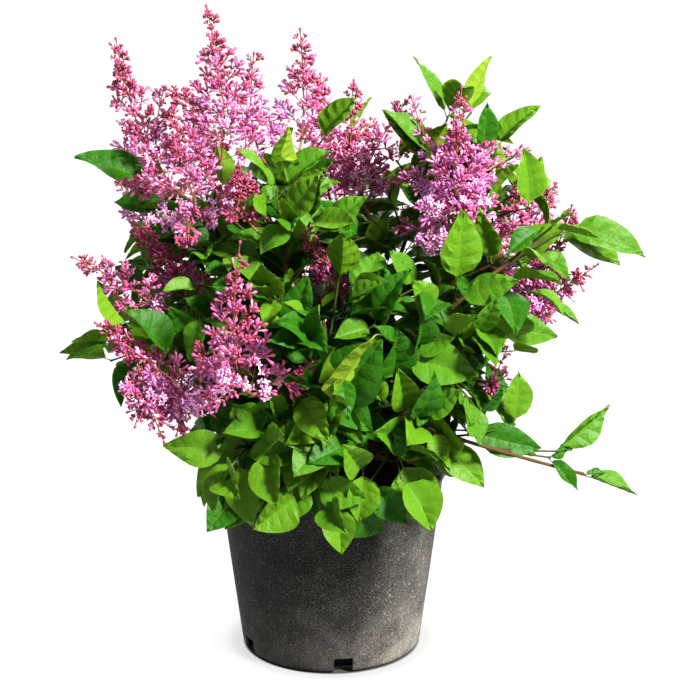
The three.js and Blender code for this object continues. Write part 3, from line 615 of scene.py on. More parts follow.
@lru_cache(maxsize=None)
def panicles():
    """The axis of every panicle. A bloom's first one goes on from its twig, the others fork off it."""
    made = []
    for index, bloom in enumerate(BLOOMS):
        twig = flowering_twig(bloom)
        start, ahead = twig.tip, twig.ahead(1)
        draw = seeded(SEED["panicle"] + index)
        main = None
        lesser = [tip for name, tip in LESSER if name == bloom.name]
        for number, (x, y, z, width, bare, *low) in enumerate(bloom.tips + lesser):
            if main:
                share = low[0] if low else BLOSSOM["first_fork"] + BLOSSOM["fork"] * (number - 1)
                start, ahead = main.at(share), main.ahead(share)
            end = Vector((x, y, z))
            end -= (end - start).normalized() * BLOSSOM["tip"]
            axis = Curve(start, start + ahead * 0.35 * (end - start).length, end)
            main = main or axis
            made.append(Panicle(bloom, axis, width, bare, draw))
    return made


def panicle_reach(width, height):
    """The length of a panicle's side branches: long at its foot, and short in the spike of buds."""
    broad = BLOSSOM["lowest"] * width * (1 - BLOSSOM["narrowing"] * height)
    spike = mixed(23, 14, height)
    below_spike = clamped((BLOSSOM["spike"] + 0.1 - height) / 0.2)
    return mixed(spike, broad, below_spike)


def side_branches(panicle):
    """Opposite side branches of a panicle, which shorten to its tip, with their own opposite branchlets."""
    axis, bare, draw = panicle.axis, panicle.bare, panicle.draw
    length_in_flower = (1 - bare) * axis.length()
    branches = []
    level, height = 0, 0
    while height < 0.97:
        share = mixed(bare, 1, height)
        root, ahead = axis.at(share), axis.ahead(share)
        spread = BLOSSOM["spread"] * (1 - BLOSSOM["closer"] * height)
        for half in (0, math.pi):
            away = axis.away(share, level * math.pi / 2 + half + BLOSSOM["turn"] * (draw() - 0.5))
            reach = panicle_reach(panicle.width, height) * mixed(0.7, 1.15, draw())
            reach = max(4.5, reach - BLOSSOM["floret"])
            out = ahead * math.cos(spread) + away * math.sin(spread)
            tip = root + out * reach + ahead * 0.15 * reach
            branch = Curve(root, root + out * 0.5 * reach, tip)
            branches.append(Branch(branch, height, False))
            if reach > 8:
                branches += branchlets(branch, reach, height, draw)
        level += 1
        step = mixed(BLOSSOM["level_low"], BLOSSOM["level_high"], min(1, height * 1.2))
        height += step / length_in_flower
    return branches


def branchlets(branch, reach, height, draw):
    """Opposite branchlets along a side branch, which shorten to its tip."""
    made = []
    places = (0.36, 0.6, 0.82) if reach > 22 else (0.45, 0.75)
    for level, share in enumerate(places):
        root, ahead = branch.at(share), branch.ahead(share)
        for half in (0, math.pi):
            away = branch.away(share, level * math.pi / 2 + half + 0.8 * (draw() - 0.5))
            length = max(2.5, 0.5 * reach * (1.05 - share) * mixed(0.7, 1.1, draw()))
            tip = root + (ahead * 0.7 + away * 0.75) * length
            made.append(Branch(Curve(root, root.lerp(tip, 0.5) + away * 0.08 * length, tip), height, True))
    return made


# ---- The space that leaves may take ----


class Taken:
    """What is in the crown already, each with a tree for overlap tests and a ball round it."""

    def __init__(self):
        self.trees = []
        self.centres = np.zeros((0, 3))
        self.radii = np.zeros(0)

    @staticmethod
    def ball(points):
        centre = np.mean(points, axis=0)
        return centre, np.linalg.norm(np.asarray(points) - centre, axis=1).max()

    def add(self, points, tree):
        centre, radius = self.ball(points)
        self.trees.append(tree)
        self.centres = np.vstack([self.centres, centre])
        self.radii = np.append(self.radii, radius)

    def meets(self, points, tree):
        centre, radius = self.ball(points)
        near = np.linalg.norm(self.centres - centre, axis=1) < self.radii + radius
        return any(self.trees[i].overlap(tree) for i in np.flatnonzero(near))


def leaf_outline(leaf, width_share):
    """A leaf as four faces: its base, two edges, the middle of its midrib, and its tip."""
    side = leaf.face.cross(leaf.along).normalized()
    middle = leaf.root + leaf.along * 0.45 * leaf.length
    out = side * 0.5 * width_share * leaf.length
    lift = leaf.face * 0.12 * leaf.length
    base = leaf.root + leaf.along * 0.16 * leaf.length
    points = [base, middle + out + lift, middle, middle - out + lift, leaf.root + leaf.along * leaf.length]
    faces = [(0, 1, 2), (0, 2, 3), (4, 2, 1), (4, 3, 2)]
    return points, BVHTree.FromPolygons(points, faces)


def pot_wall(z):
    return mixed(POT["base"], POT["top"], z / POT["height"])


def touches_pot(points):
    for place in points:
        if place.z < POT["height"] + POT_ROOM["over_rim"]:
            from_axis = math.hypot(place.x, place.y)
            wall = pot_wall(place.z)
            clear_of_compost = place.z > COMPOST_TOP + POT_ROOM["over_compost"]
            inside = from_axis < wall - POT_ROOM["beside"] and clear_of_compost
            if not inside and from_axis < wall + POT_ROOM["beside"]:
                return True
    return False


def hangs_low(tip):
    """Whether a leaf's tip would hide more of the pot than the rim."""
    return tip.z < LOWEST_LEAF and math.hypot(tip.x, tip.y) > pot_wall(tip.z)


def in_opening(points):
    """Whether a leaf would close one of the crown's openings."""
    for place in points:
        share = -FRONT_EYE.y / (place.y - FRONT_EYE.y)
        seen = FRONT_EYE.lerp(place, share)
        for x, z, half_width, half_height in OPENINGS:
            if ((seen.x - x) / half_width) ** 2 + ((seen.z - z) / half_height) ** 2 < 1:
                return True
    return False


def over_rim(leaf, draw):
    """Whether a leaf stands where the skirt over the rim is thin at the front, or high on the right."""
    skirt = leaf.root.z < SKIRT["below"] and leaf.root.y < SKIRT["before"]
    crest = leaf.root.z > CREST["above"] and leaf.root.x > CREST["right_of"]
    return (skirt or crest) and draw() < THINNED


def in_blossom(points):
    """Whether a leaf would stand inside a panicle, or before it on the side that it shows."""
    for place, radius, open_sides in blossom_room():
        for point in points:
            off = point - place
            if off.length < BLOSSOM_ROOM["within"] * radius:
                return True
            for open_side in open_sides:
                before = off.dot(open_side)
                beside = (off - open_side * before).length
                if 0 < before < BLOSSOM_ROOM["before"] and beside < BLOSSOM_ROOM["beside"] * radius:
                    return True
    return False


@lru_cache(maxsize=None)
def blossom_room():
    """Balls along every panicle: place, radius, and the level directions in which it stands free."""
    balls = []
    for panicle in panicles():
        for height in (0.1, 0.35, 0.6, 0.85):
            place = panicle.axis.at(mixed(panicle.bare, 1, height))
            outward = Vector((place.x, place.y, 0)).normalized()
            nearer_side = Vector((0, 1 if place.y > 85 else -1, 0))
            balls.append((place, panicle_reach(panicle.width, height), (outward, nearer_side)))
    return balls


def pair_count(length):
    return max(1, round(length / PAIR_SPACING))


def leaves_of(twig):
    """The leaves that a twig may bear, by the rule."""
    size = twig.shoot.leaf * LEAF_SIZES[twig.rank]
    leaves = leaf_pairs(twig.curve, size, seeded(twig.seed), pair_count(twig.curve.length()))
    if twig.lead:
        leaves.pop()
    if not twig.shoot.twigs:
        return [leaf._replace(length=0.4 * leaf.length) for leaf in leaves[-2:]]
    return leaves


LEAD_PAIR = -1


def lead_leaf(twig):
    """The leaf that a lead twig carries furthest out."""
    root = twig.curve.at(LAST_PAIR)
    along = twig.lead - root
    length = along.length
    along.normalize()
    face = facing(root, along, seeded(twig.seed))
    if twig.lead.y < OPEN_TO_FRONT:
        face += Vector((0, -0.8, 0))
        face = square_to(face, along)
    face.rotate(Quaternion(along, math.radians(twig.roll)))
    return Leaf(root, along, face, length, LEAD_PAIR, False)


def leaf_width(leaf):
    """A leaf's width as a share of its length: low leaves are rounder, but slender on the low right."""
    width_share = bpy.context.scene.lilac.leaves.width_share
    x, y, z = leaf.root
    if x > SLENDER["right_of"] and y < SLENDER["before"] and z < SLENDER["below"]:
        return SLENDER["width"] * width_share
    return width_share * mixed(ROUND["width"], 1, clamped((z - ROUND["below"]) / ROUND["fade"]))


def spray_shade(leaf, draw):
    """The name of a leaf's shade: young at a twig's tip, painted darker towards the crown's heart as shade,
    and lighter high up as painted sun.
    """
    middle = leaf.root + leaf.along * 0.6 * leaf.length - HEART
    height = CROWN["up"] if middle.z > 0 else CROWN["down"]
    depth = Vector((middle.x / CROWN["side"], middle.y / CROWN["front"], middle.z / height)).length
    # Leaves deep within the crown get a near-black colour that is painted shade.
    if depth < INNER_DEPTH:
        return "inner"
    # Painted light: a random draw, darkened towards the crown's heart as shade and lightened high up as
    # sun.
    sun = clamped((leaf.root.z - PAINTED_SUN["above"]) / PAINTED_SUN["fade"])
    age_and_painted_light = draw() + 1.5 * max(0, 1 - depth) - PAINTED_SUN["painted_lighter"] * sun
    if leaf.last and leaf.root.z > YOUNG["above"] and draw() < YOUNG["share"]:
        return "young"
    if age_and_painted_light < BRIGHT_BELOW:
        return "bright"
    return "fresh" if age_and_painted_light < FRESH_BELOW else "deep"


@lru_cache(maxsize=None)
def grown_leaves():
    """Every leaf with its shade, and the twigs that bear any. A leaf grows where nothing is in its way."""
    taken = Taken()
    for name, curve in limbs().items():
        bar = BOUGH if SHOOT_NAMED[name].parent else CANE
        sides = 5
        points, _ = tube(curve, Bar(bar.foot, bar.tip, sides), 8)
        for low in range(0, len(points) - 2 * sides, 2 * sides):
            part = points[low:low + 4 * sides]
            faces = [(i, i + sides, i + sides + 1) for i in range(len(part) - sides - 1)]
            taken.add(part, BVHTree.FromPolygons(part, faces))
    grown, bearing = [], set()

    def try_leaf(twig, leaf, lead=False):
        stem = stems()[twig.shoot.name]
        for lean in (0, -0.2, 0.2) if lead else (-0.5, -0.15, -0.9, 0.2):
            along = (leaf.along + leaf.face * lean).normalized()
            face = square_to(leaf.face, along)
            leaned = leaf._replace(along=along, face=face)
            points, tree = leaf_outline(leaned, leaf_width(leaned))
            tip = points[-1]
            chord = stem.tip - stem.foot
            beside = clamped((tip - stem.foot).dot(chord) / chord.length_squared)
            too_far = (tip - stem.foot - chord * beside).length > twig.shoot.room
            if too_far or touches_pot(points[1:]):
                continue
            if not lead and (hangs_low(tip) or in_opening(points[1:]) or in_blossom(points[1:])):
                continue
            if taken.meets(points, tree):
                continue
            taken.add(points, tree)
            shade = lead and twig.shade or spray_shade(leaned, seeded(twig.seed * 10 + leaf.pair))
            grown.append((leaned, shade))
            bearing.add(twig.curve)
            return

    for twig in twigs():
        if twig.lead:
            try_leaf(twig, lead_leaf(twig), lead=True)
    for twig in twigs():
        draw = seeded(twig.seed + SEED["thinning"])
        for leaf in leaves_of(twig):
            if not over_rim(leaf, draw):
                try_leaf(twig, leaf)
    return grown, bearing


# ---- Meshes from arrays ----


def ring_faces(rings, sides):
    """The faces of a closed body whose points lie in rings: its side, then a fan at each end."""
    faces = []
    for ring in range(rings - 1):
        for side in range(sides):
            here, after = ring * sides + side, ring * sides + (side + 1) % sides
            faces += [(here, after, after + sides), (here, after + sides, here + sides)]
    last = (rings - 1) * sides
    for side in range(1, sides - 1):
        faces += [(0, side + 1, side), (last, last + side, last + side + 1)]
    return faces


def tube(curve, bar, rings, swell=None):
    """A round bar along a curve, closed at both ends: its points and faces."""
    points = []
    sides = bar.sides
    for ring in range(rings + 1):
        share = ring / rings
        radius = mixed(bar.foot, bar.tip, share)
        if swell:
            radius *= swell(share)
        right, back = curve.across(share)
        centre = curve.at(share)
        for side in range(sides):
            angle = 2 * math.pi * side / sides
            points.append(centre + right * radius * math.cos(angle) - back * radius * math.sin(angle))
    return points, ring_faces(rings + 1, sides)


class Joined:
    """Small shapes gathered into one mesh, in millimetres. Each face has the number of its finish."""

    def __init__(self):
        self.points, self.faces, self.finishes = [], [], []
        self.total = 0

    def add(self, points, faces, finishes=0):
        points = np.asarray(points, dtype=float).reshape(-1, 3)
        faces = np.asarray(faces, dtype=np.int64).reshape(-1, 3)
        self.points.append(points)
        self.faces.append(faces + self.total)
        self.finishes.append(np.broadcast_to(finishes, len(faces)))
        self.total += len(points)

    def piece(self, name, materials, slot, nodes, crease=40):
        """The gathered shapes as one object that stands for CAD nodes."""
        points = np.concatenate(self.points) * MM
        faces = np.concatenate(self.faces)
        mesh = bpy.data.meshes.new(name)
        mesh.vertices.add(len(points))
        mesh.vertices.foreach_set("co", points.astype(np.float32).ravel())
        mesh.loops.add(faces.size)
        mesh.loops.foreach_set("vertex_index", faces.astype(np.int32).ravel())
        mesh.polygons.add(len(faces))
        mesh.polygons.foreach_set("loop_start", np.arange(0, faces.size, 3, dtype=np.int32))
        mesh.polygons.foreach_set("material_index", np.concatenate(self.finishes).astype(np.int32))
        for material in materials:
            mesh.materials.append(material)
        mesh.update(calc_edges=True)
        mesh.validate()
        made = bpy.data.objects.new(name, mesh)
        bpy.context.scene.collection.objects.link(made)
        return finished(made, nodes, crease)


def finished(made, nodes, crease):
    """A finished piece: smooth but for its creases, on the plant's body, in place of its CAD nodes."""
    bpy.ops.object.select_all(action="DESELECT")
    made.select_set(True)
    bpy.context.view_layer.objects.active = made
    bpy.ops.object.shade_smooth_by_angle(angle=math.radians(crease))
    made.select_set(False)
    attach(made, "root")
    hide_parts(*nodes)
    return made


def nodes_named(*starts):
    return sorted(node for node in frame["nodes"] if node.startswith(starts))


# ---- Leaf shape ----

VEIN_HALF = 0.004  # half width, as a share of the leaf's length
SLANT = 0.5  # how far the veins run forward on their way to the edge
PETIOLE = 0.13  # share of the leaf's length
LEAF_THICK = 0.35
UPPER, UNDER, VEIN = 0, 1, 2


class LeafGrid:
    """Rows and columns of a leaf's points, with its faces and their finishes."""

    def __init__(self, veins, columns):
        self.columns = np.array(columns)
        middles = [0.08 + 0.74 * vein / (veins - 1) for vein in range(veins)]
        rows, crests, self.vein_rows = [0], [0], []
        for number, middle in enumerate(middles):
            after = middles[number + 1] if number + 1 < veins else 1
            self.vein_rows.append(len(rows))
            rows += [middle - VEIN_HALF, middle + VEIN_HALF, mixed(middle, after, 0.5)]
            crests += [0, 0, 1]
        self.rows, self.crests = np.array(rows + [1]), np.array(crests + [0])
        self.faces, self.finishes = self.sides_and_stalk()

    def above(self, row, column):
        return row * len(self.columns) + column

    def below(self, row, column):
        """The under side's point. Both sides share the points at the edge."""
        rows, columns = len(self.rows), len(self.columns)
        if row in (0, rows - 1) or column in (0, columns - 1):
            return self.above(row, column)
        return rows * columns + (row - 1) * (columns - 2) + column - 1

    def sides_and_stalk(self):
        rows, columns = len(self.rows), len(self.columns)
        faces, finishes = [], []
        for row in range(rows - 1):
            for column in range(columns - 1):
                on_vein = row in self.vein_rows or column == columns // 2 - 1
                for at, turned, finish in ((self.above, False, UPPER), (self.below, True, UNDER)):
                    low, high = at(row, column), at(row + 1, column)
                    low_beside, high_beside = at(row, column + 1), at(row + 1, column + 1)
                    pair = [(low, high, high_beside), (low, high_beside, low_beside)]
                    faces += [face[::-1] for face in pair] if turned else pair
                    finishes += [VEIN if on_vein else finish] * 2
        stalk = rows * columns + (rows - 2) * (columns - 2)
        for here in range(6):
            after = here + 1 if here % 3 < 2 else here - 2
            low, beside = stalk + here, stalk + after
            faces += [(low, beside, beside + 3), (low, beside + 3, low + 3)]
        faces += [(stalk, stalk + 2, stalk + 1), (stalk + 6, stalk + 7, stalk + 8)]
        finishes += [VEIN] * 14
        return np.array(faces), np.array(finishes)


OUTER_LEAF = LeafGrid(5, (-1, -0.68, -0.34, -0.035, 0.035, 0.34, 0.68, 1))
INNER_LEAF = LeafGrid(2, (-1, -0.5, -0.05, 0.05, 0.5, 1))


def leaf_half_width(share):
    """Half the width of a blade along its length, 1 where it is widest: a round base and a long tip."""
    return np.clip(share, 0.004, 1) ** 0.72 * np.clip(1.01 - share, 0, 1) ** 1.18 / 0.284


def leaf_points(leaf, grid, width_share, draw):
    """The points of one leaf: folded, puckered between its veins, waved, arched and twisted."""
    petiole = PETIOLE * leaf.length
    blade = leaf.length - petiole
    half_width = 0.5 * width_share * leaf.length * mixed(0.88, 1.18, draw())
    fold = mixed(0.25, 0.9, draw())
    pucker = mixed(0.024, 0.048, draw()) * leaf.length
    wave = mixed(0.6, 2.4, draw())
    phase = 2 * math.pi * draw()
    arch = mixed(0, 0.6 if leaf.pair == LEAD_PAIR else 1.3, draw())
    twist = mixed(-0.45, 0.45, draw())
    sweep = mixed(-0.14, 0.14, draw())
    row = grid.rows[:, None]
    crests = grid.crests[:, None]
    column = grid.columns[None, :]
    beside = np.abs(column)
    along = row + SLANT * beside * row * (1 - row)
    edge = row + SLANT * row * (1 - row)
    x = petiole + blade * along
    y = column * half_width * leaf_half_width(edge)
    z = fold * np.abs(y) - 0.008 * y**2
    z = z + pucker * crests * np.sin(np.pi * np.clip(beside, 0, 1)) ** 0.7
    z = z + wave * beside**3 * np.sin(9 * along + phase + column)
    ribs = np.where((crests > 0) & (beside > 0.1), 0, 0.4)
    upper = np.stack([x, y, z], axis=2)
    under = np.stack([x, y, z - LEAF_THICK - ribs], axis=2)[1:-1, 1:-1]
    angles = 2 * math.pi * np.arange(3) / 3
    rings = [(0, 0.75), (0.55 * petiole, 0.6), (petiole + 0.6, 0.55)]
    stalk = [(at, r * math.sin(a), r * math.cos(a) - 0.5) for at, r in rings for a in angles]
    points = np.concatenate([upper.reshape(-1, 3), under.reshape(-1, 3), np.array(stalk)])
    return bent(points, leaf, arch, twist, sweep)


def bent(points, leaf, arch, twist, sweep):
    """A flat leaf twisted, swept and arched along its length, then put in its place on the twig."""
    x, y, z = points.T
    share = x / leaf.length
    turn = twist * share
    y, z = y * np.cos(turn) - z * np.sin(turn), y * np.sin(turn) + z * np.cos(turn)
    y = y + sweep * leaf.length * share * (1 - share)
    # An arc whose chord runs from the leaf's root to its tip.
    bend = max(arch, 0.02)
    radius = leaf.length / bend
    angle = x / radius - bend / 2
    chord = leaf.length / (2 * radius * math.sin(bend / 2))
    arc_x = (radius * (np.sin(angle) + math.sin(bend / 2)) + z * np.sin(angle)) * chord
    arc_z = radius * (np.cos(angle) - math.cos(bend / 2)) * chord + z * np.cos(angle)
    side = np.array(leaf.face.cross(leaf.along).normalized())
    root = np.array(leaf.root)
    return root + np.outer(arc_x, leaf.along) + np.outer(y, side) + np.outer(arc_z, leaf.face)


# ---- Florets ----

# How far a panicle's florets have opened, and the shades that are dealt out among its branches.
Tone = namedtuple("Tone", "ripeness shades")
TONES = {
    "pink": Tone(0, ("rose", "rose", "pale", "lilac")),
    "lilac": Tone(0.14, ("lilac", "lilac", "pale", "rose")),
    "dark": Tone(-0.3, ("wine", "wine", "rose", "lilac")),
}
SHADES = ("rose", "pale", "lilac", "wine")


# A lobe's points, each (x, distance from the axis, angle from the lobe's middle): its foot, its
# shoulders, its tip and a point under it.
LOBE_POINTS = [(8.2, 0.95, -0.72), (8.2, 0.95, 0.72), (9.9, 2.7, -0.42), (9.9, 2.7, 0.42),
               (9.2, 4.5, 0), (8.3, 2.5, 0)]
LOBE_FACES = [(0, 1, 3), (0, 3, 2), (2, 3, 4), (0, 2, 5), (2, 4, 5), (4, 3, 5), (3, 1, 5), (1, 0, 5)]


def lathed(rings, sides):
    """A small closed body round x, from rings of (place, radius): its points and faces."""
    points = [
        (x, radius * math.cos(2 * math.pi * side / sides), radius * math.sin(2 * math.pi * side / sides))
        for x, radius in rings
        for side in range(sides)
    ]
    return points, ring_faces(len(rings), sides)


def bud_shape():
    """A tight club-shaped bud. Finish 0 is its stalk's and 1 its own."""
    points, faces = lathed([(0, 0.5), (2.8, 0.8), (5.0, 1.65), (6.4, 0.8)], 4)
    return points, faces, [0] * 8 + [1] * 16 + [0, 1] * 2


def tube_shape():
    """A closed floret: a long tube, finish 0, with a darker swollen end, finish 1."""
    points, faces = lathed([(0, 0.55), (6.4, 1.0), (9.2, 1.85), (11.2, 0.8)], 4)
    return points, faces, [0] * 16 + [1] * 8 + [0, 1] * 2


def open_shape():
    """An open floret: a tube, finish 0, four pointed lobes, finish 1, and the throat, finish 2."""
    points, faces = lathed([(0, 0.5), (5, 0.85), (8.4, 1.2)], 4)
    finishes = [0] * 16 + [0, 2] * 2
    for lobe in range(4):
        middle = 2 * math.pi * (lobe + 0.5) / 4
        start = len(points)
        for x, from_axis, turn in LOBE_POINTS:
            points.append((x, from_axis * math.cos(middle + turn), from_axis * math.sin(middle + turn)))
        faces += [tuple(start + corner for corner in face) for face in LOBE_FACES]
        finishes += [1] * len(LOBE_FACES)
    return points, faces, finishes


def placed_copies(shape, places):
    """Copies of a shape at (root, direction, roll, scale): all their points, faces and finishes."""
    points, faces, finishes = (np.array(part) for part in shape)
    roots = np.array([place[0] for place in places])
    ahead = np.array([place[1] for place in places])
    roll = np.array([place[2] for place in places])[:, None]
    scale = np.array([place[3] for place in places])[:, None, None]
    reference = np.where(np.abs(ahead[:, 2:]) < 0.8, [[0, 0, 1]], [[0, 1, 0]])
    side = np.cross(ahead, reference)
    side /= np.linalg.norm(side, axis=1)[:, None]
    other = np.cross(ahead, side)
    right = side * np.cos(roll) + other * np.sin(roll)
    back = np.cross(ahead, right)
    axes = np.stack([ahead, right, back], axis=1)
    copies = roots[:, None, :] + scale * np.einsum("kj,njm->nkm", points, axes)
    shift = np.arange(len(places))[:, None, None] * len(points)
    return copies.reshape(-1, 3), (faces[None] + shift).reshape(-1, 3), np.tile(finishes, len(places))


@lru_cache(maxsize=None)
def florets():
    """Every floret's place by kind and shade. Florets open from the foot of a panicle and near its axis."""
    scale = bpy.context.scene.lilac.blossom.floret_scale
    sorted_out = {}
    for number, panicle in enumerate(panicles()):
        draw = seeded(SEED["florets"] + number)
        tone = TONES[panicle.bloom.tone]
        for branch in panicle_branches()[panicle.axis]:
            shade = tone.shades[int(draw() * len(tone.shades))]
            for root, way, share in floret_places(branch, draw):
                ripe = 1.0 - 0.85 * branch.height - 0.3 * share - 0.12 * branch.second
                ripe += 0.5 * (draw() - 0.5) + tone.ripeness
                kind = "open" if ripe > OPENS else "tube" if ripe > GROWS else "bud"
                size = scale * mixed(1, 0.7, max(0, branch.height - 0.7) / 0.3)
                place = (root, way, 6.3 * draw(), size * mixed(0.82, 1.12, draw()))
                sorted_out.setdefault((kind, shade), []).append(place)
        tip, ahead = panicle.axis.at(1), panicle.axis.ahead(1)
        sorted_out[("bud", "rose")].append((tip - ahead * 0.5, ahead, 0, scale))
    return sorted_out


def floret_places(branch, draw):
    """Florets in opposite pairs towards a branch's end, and one at its end: root, direction and share."""
    curve = branch.curve
    length = curve.length()
    shares = [0.98] if length < 7 else [0.55, 0.98] if length < 18 else [0.9, 0.98]
    places = [(curve.at(1) - curve.ahead(1) * 0.4, curve.ahead(1), 1)]
    for level, share in enumerate(shares):
        for half in (0, math.pi):
            away = curve.away(share, level * math.pi / 2 + half + 1.2 * draw())
            spread = mixed(0.55, 0.95, draw())
            way = curve.ahead(share) * math.cos(spread) + away * math.sin(spread)
            places.append((curve.at(share) - way * 0.3, way, share))
    return places


@lru_cache(maxsize=None)
def panicle_branches():
    return {panicle.axis: side_branches(panicle) for panicle in panicles()}


# ---- Materials ----


def tint(red, green, blue):
    """A linear colour from display values of 0 to 255."""
    return tuple(((value / 255 + 0.055) / 1.055) ** 2.4 if value > 10 else value / 3295
                 for value in (red, green, blue))


class Signal:
    """A socket of a material's nodes. Python's operators on it add Math nodes."""

    def __init__(self, finish, socket):
        self.finish, self.socket = finish, socket

    def _maths(self, operation, *values):
        return self.finish.node("ShaderNodeMath", {"operation": operation}, *values)

    def __add__(self, other):
        return self._maths("ADD", self, other)

    def __sub__(self, other):
        return self._maths("SUBTRACT", self, other)

    def __rsub__(self, other):
        return self._maths("SUBTRACT", other, self)

    def __mul__(self, other):
        return self._maths("MULTIPLY", self, other)

    def above(self, low, high):
        """0 below low, 1 above high, and a smooth step between."""
        return self.finish.node("ShaderNodeMapRange", {"interpolation_type": "SMOOTHSTEP"}, self, low, high)

    __radd__ = __add__
    __rmul__ = __mul__


class Finish:
    """One material. Plain values go on the shader's sockets, and nodes drive the rest."""

    def __init__(self, name, **values):
        self.material = bpy.data.materials.new(name)
        self.material.use_nodes = True
        self.tree = self.material.node_tree
        self.shader = self.tree.nodes["Principled BSDF"]
        for socket, value in values.items():
            self.set(socket.replace("_", " ").title().replace("Ior", "IOR"), value)

    def set(self, name, value):
        socket = self.shader.inputs[name]
        if isinstance(value, Signal):
            self.tree.links.new(value.socket, socket)
        else:
            socket.default_value = (*value, 1) if socket.type == "RGBA" else value

    def node(self, kind, settings, *inputs, output=0, **named):
        """A node of a kind, with its settings made first, then its sockets' values or links."""
        made = self.tree.nodes.new(kind)
        for name, value in settings.items():
            setattr(made, name, value)
        for name, value in [*enumerate(inputs), *named.items()]:
            socket = made.inputs[name]
            if isinstance(value, Signal):
                self.tree.links.new(value.socket, socket)
            elif value is not None:
                socket.default_value = value
        return Signal(self, made.outputs[output])

    def place(self):
        return self.node("ShaderNodeTexCoord", {}, output="Object")

    def grain(self, place, scale, detail=3.0, rough=0.55):
        """Fractal noise from 0 to 1."""
        return self.node("ShaderNodeTexNoise", {}, place, None, scale, detail, rough)

    def blended(self, share, first, second):
        """Two colours, mixed by a share."""
        made = self.tree.nodes.new("ShaderNodeMix")
        made.data_type = "RGBA"
        sockets = [socket for socket in made.inputs if socket.enabled]
        for socket, value in zip(sockets, (share, first, second)):
            if isinstance(value, Signal):
                self.tree.links.new(value.socket, socket)
            else:
                socket.default_value = (*value, 1) if isinstance(value, tuple) else value
        return Signal(self, next(output for output in made.outputs if output.enabled))

    def bumped(self, height, distance, strength=1.0):
        bump = self.node("ShaderNodeBump", {}, Strength=strength, Distance=distance, Height=height)
        self.set("Normal", bump)
        return self


def leaf_finish(name, colour, settings, gloss):
    """A leaf's skin: one plain colour, softly glossy, with a fine pebbled relief."""
    finish = Finish(
        name,
        base_color=tuple(colour),
        roughness=gloss,
        specular_ior_level=0.1,
        subsurface_weight=settings.glow,
        subsurface_radius=(0.6, 1.0, 0.25),
        subsurface_scale=0.002,
    )
    return finish.bumped(finish.grain(finish.place(), 240.0, 4.0), 0.0016, 0.55).material


def plain_finish(name, colour, roughness, relief_scale=1500.0, **values):
    """A small thing's skin: one plain colour with a fine relief."""
    finish = Finish(name, base_color=tuple(colour), roughness=roughness, **values)
    return finish.bumped(finish.grain(finish.place(), relief_scale), 0.0002, 0.3).material


def bark_finish(settings):
    """Grey-brown bark with paler streaks along the cane and darker specks."""
    finish = Finish("bark", specular_ior_level=0.3)
    place = finish.place()
    stretched = finish.node("ShaderNodeMapping", {}, place, None, None, (1.0, 1.0, 0.18))
    streaks = finish.grain(stretched, 420.0, 4.0)
    blotches = finish.grain(place, 60.0, 2.0).above(0.35, 0.65)
    specks = finish.grain(place, 800.0, 1.0).above(0.66, 0.74)
    colour = finish.blended(blotches, tuple(settings.bark), tuple(settings.bark_pale))
    colour = finish.blended(streaks.above(0.5, 0.7) * 0.6, colour, tint(128, 108, 82))
    colour = finish.blended(specks * 0.7, colour, tint(46, 34, 24))
    finish.set("Base Color", colour)
    finish.set("Roughness", 0.72 + streaks * 0.2)
    return finish.bumped(streaks, 0.0006, 0.6).material


MIDDLE_RADIUS = 0.11  # of the pot's wall, in metres


def pot_finish(settings):
    """Dull charcoal plastic, worn grey in a fine grain, scratched, with dried dust; one side is painted
    lighter as if lit, with more wear, marks and dust.
    """
    finish = Finish("pot_plastic", specular_ior_level=0.1)
    place = finish.place()
    x, y, z = (finish.node("ShaderNodeSeparateXYZ", {}, place, output=axis) for axis in range(3))
    round_it = finish.node("ShaderNodeMath", {"operation": "ARCTAN2"}, y, x) * MIDDLE_RADIUS
    unrolled = finish.node("ShaderNodeCombineXYZ", {}, round_it, z, 0.0)

    def scratches(angle, scale, low):
        """Fine straight lines at an angle, from a noise that is drawn out one way."""
        texture = {"vector_type": "TEXTURE"}
        turn, drawn_out = (0.0, 0.0, angle), (1.0, 6.0, 1.0)
        turned = finish.node("ShaderNodeMapping", texture, unrolled, None, turn, drawn_out)
        return finish.grain(turned, scale, 2.0, 0.6).above(low, low + 0.05)

    # One side of the pot is painted lighter, as if lit from the right; its wear, marks and dust are
    # stronger there.
    painted_lit_side = (x + y * 0.3 - z * 0.3).above(-0.04, 0.09)
    low_down = 1 - z.above(0.005, 0.085)
    drift = finish.grain(unrolled, 26.0, 4.0, 0.65).above(0.3, 0.68)
    grain = finish.grain(unrolled, 850.0, 4.0, 0.8).above(0.48, 0.64)
    powder = finish.grain(unrolled, 500.0, 4.0, 0.75).above(0.36, 0.62)
    flecks = finish.grain(unrolled, 640.0, 2.0, 0.6).above(0.6, 0.68)
    broken = finish.grain(unrolled, 80.0, 3.0).above(0.4, 0.6)
    lines = scratches(0.5, 900.0, 0.63) + scratches(-0.9, 1000.0, 0.64) + scratches(2.1, 800.0, 0.64)
    # Scratches and flecks, drawn stronger on the painted lit side.
    marks = (lines * broken + flecks * 0.8) * (0.2 + painted_lit_side * 0.8)
    # Grey wear in a fine grain, with painted light added on the lit side.
    wear_and_painted_light = grain * (0.16 + drift * 0.36 + painted_lit_side * 0.55)
    # Dust low down, and on the lit side painted light in the colour of dust.
    dust_and_painted_light = low_down * (0.2 + painted_lit_side * 0.55) + painted_lit_side * 0.45
    dust = dust_and_painted_light * (0.25 + drift * 0.75) * (0.2 + powder * 0.8)
    colour = finish.blended(wear_and_painted_light, tuple(settings.plastic), tuple(settings.plastic_worn))
    colour = finish.blended(dust, colour, tuple(settings.dust))
    finish.set("Base Color", finish.blended(marks, colour, tuple(settings.scratch)))
    finish.set("Roughness", 0.6 + dust * 0.3)
    return finish.bumped(marks * 0.4 + grain * 0.6, 0.0003, 0.5).material


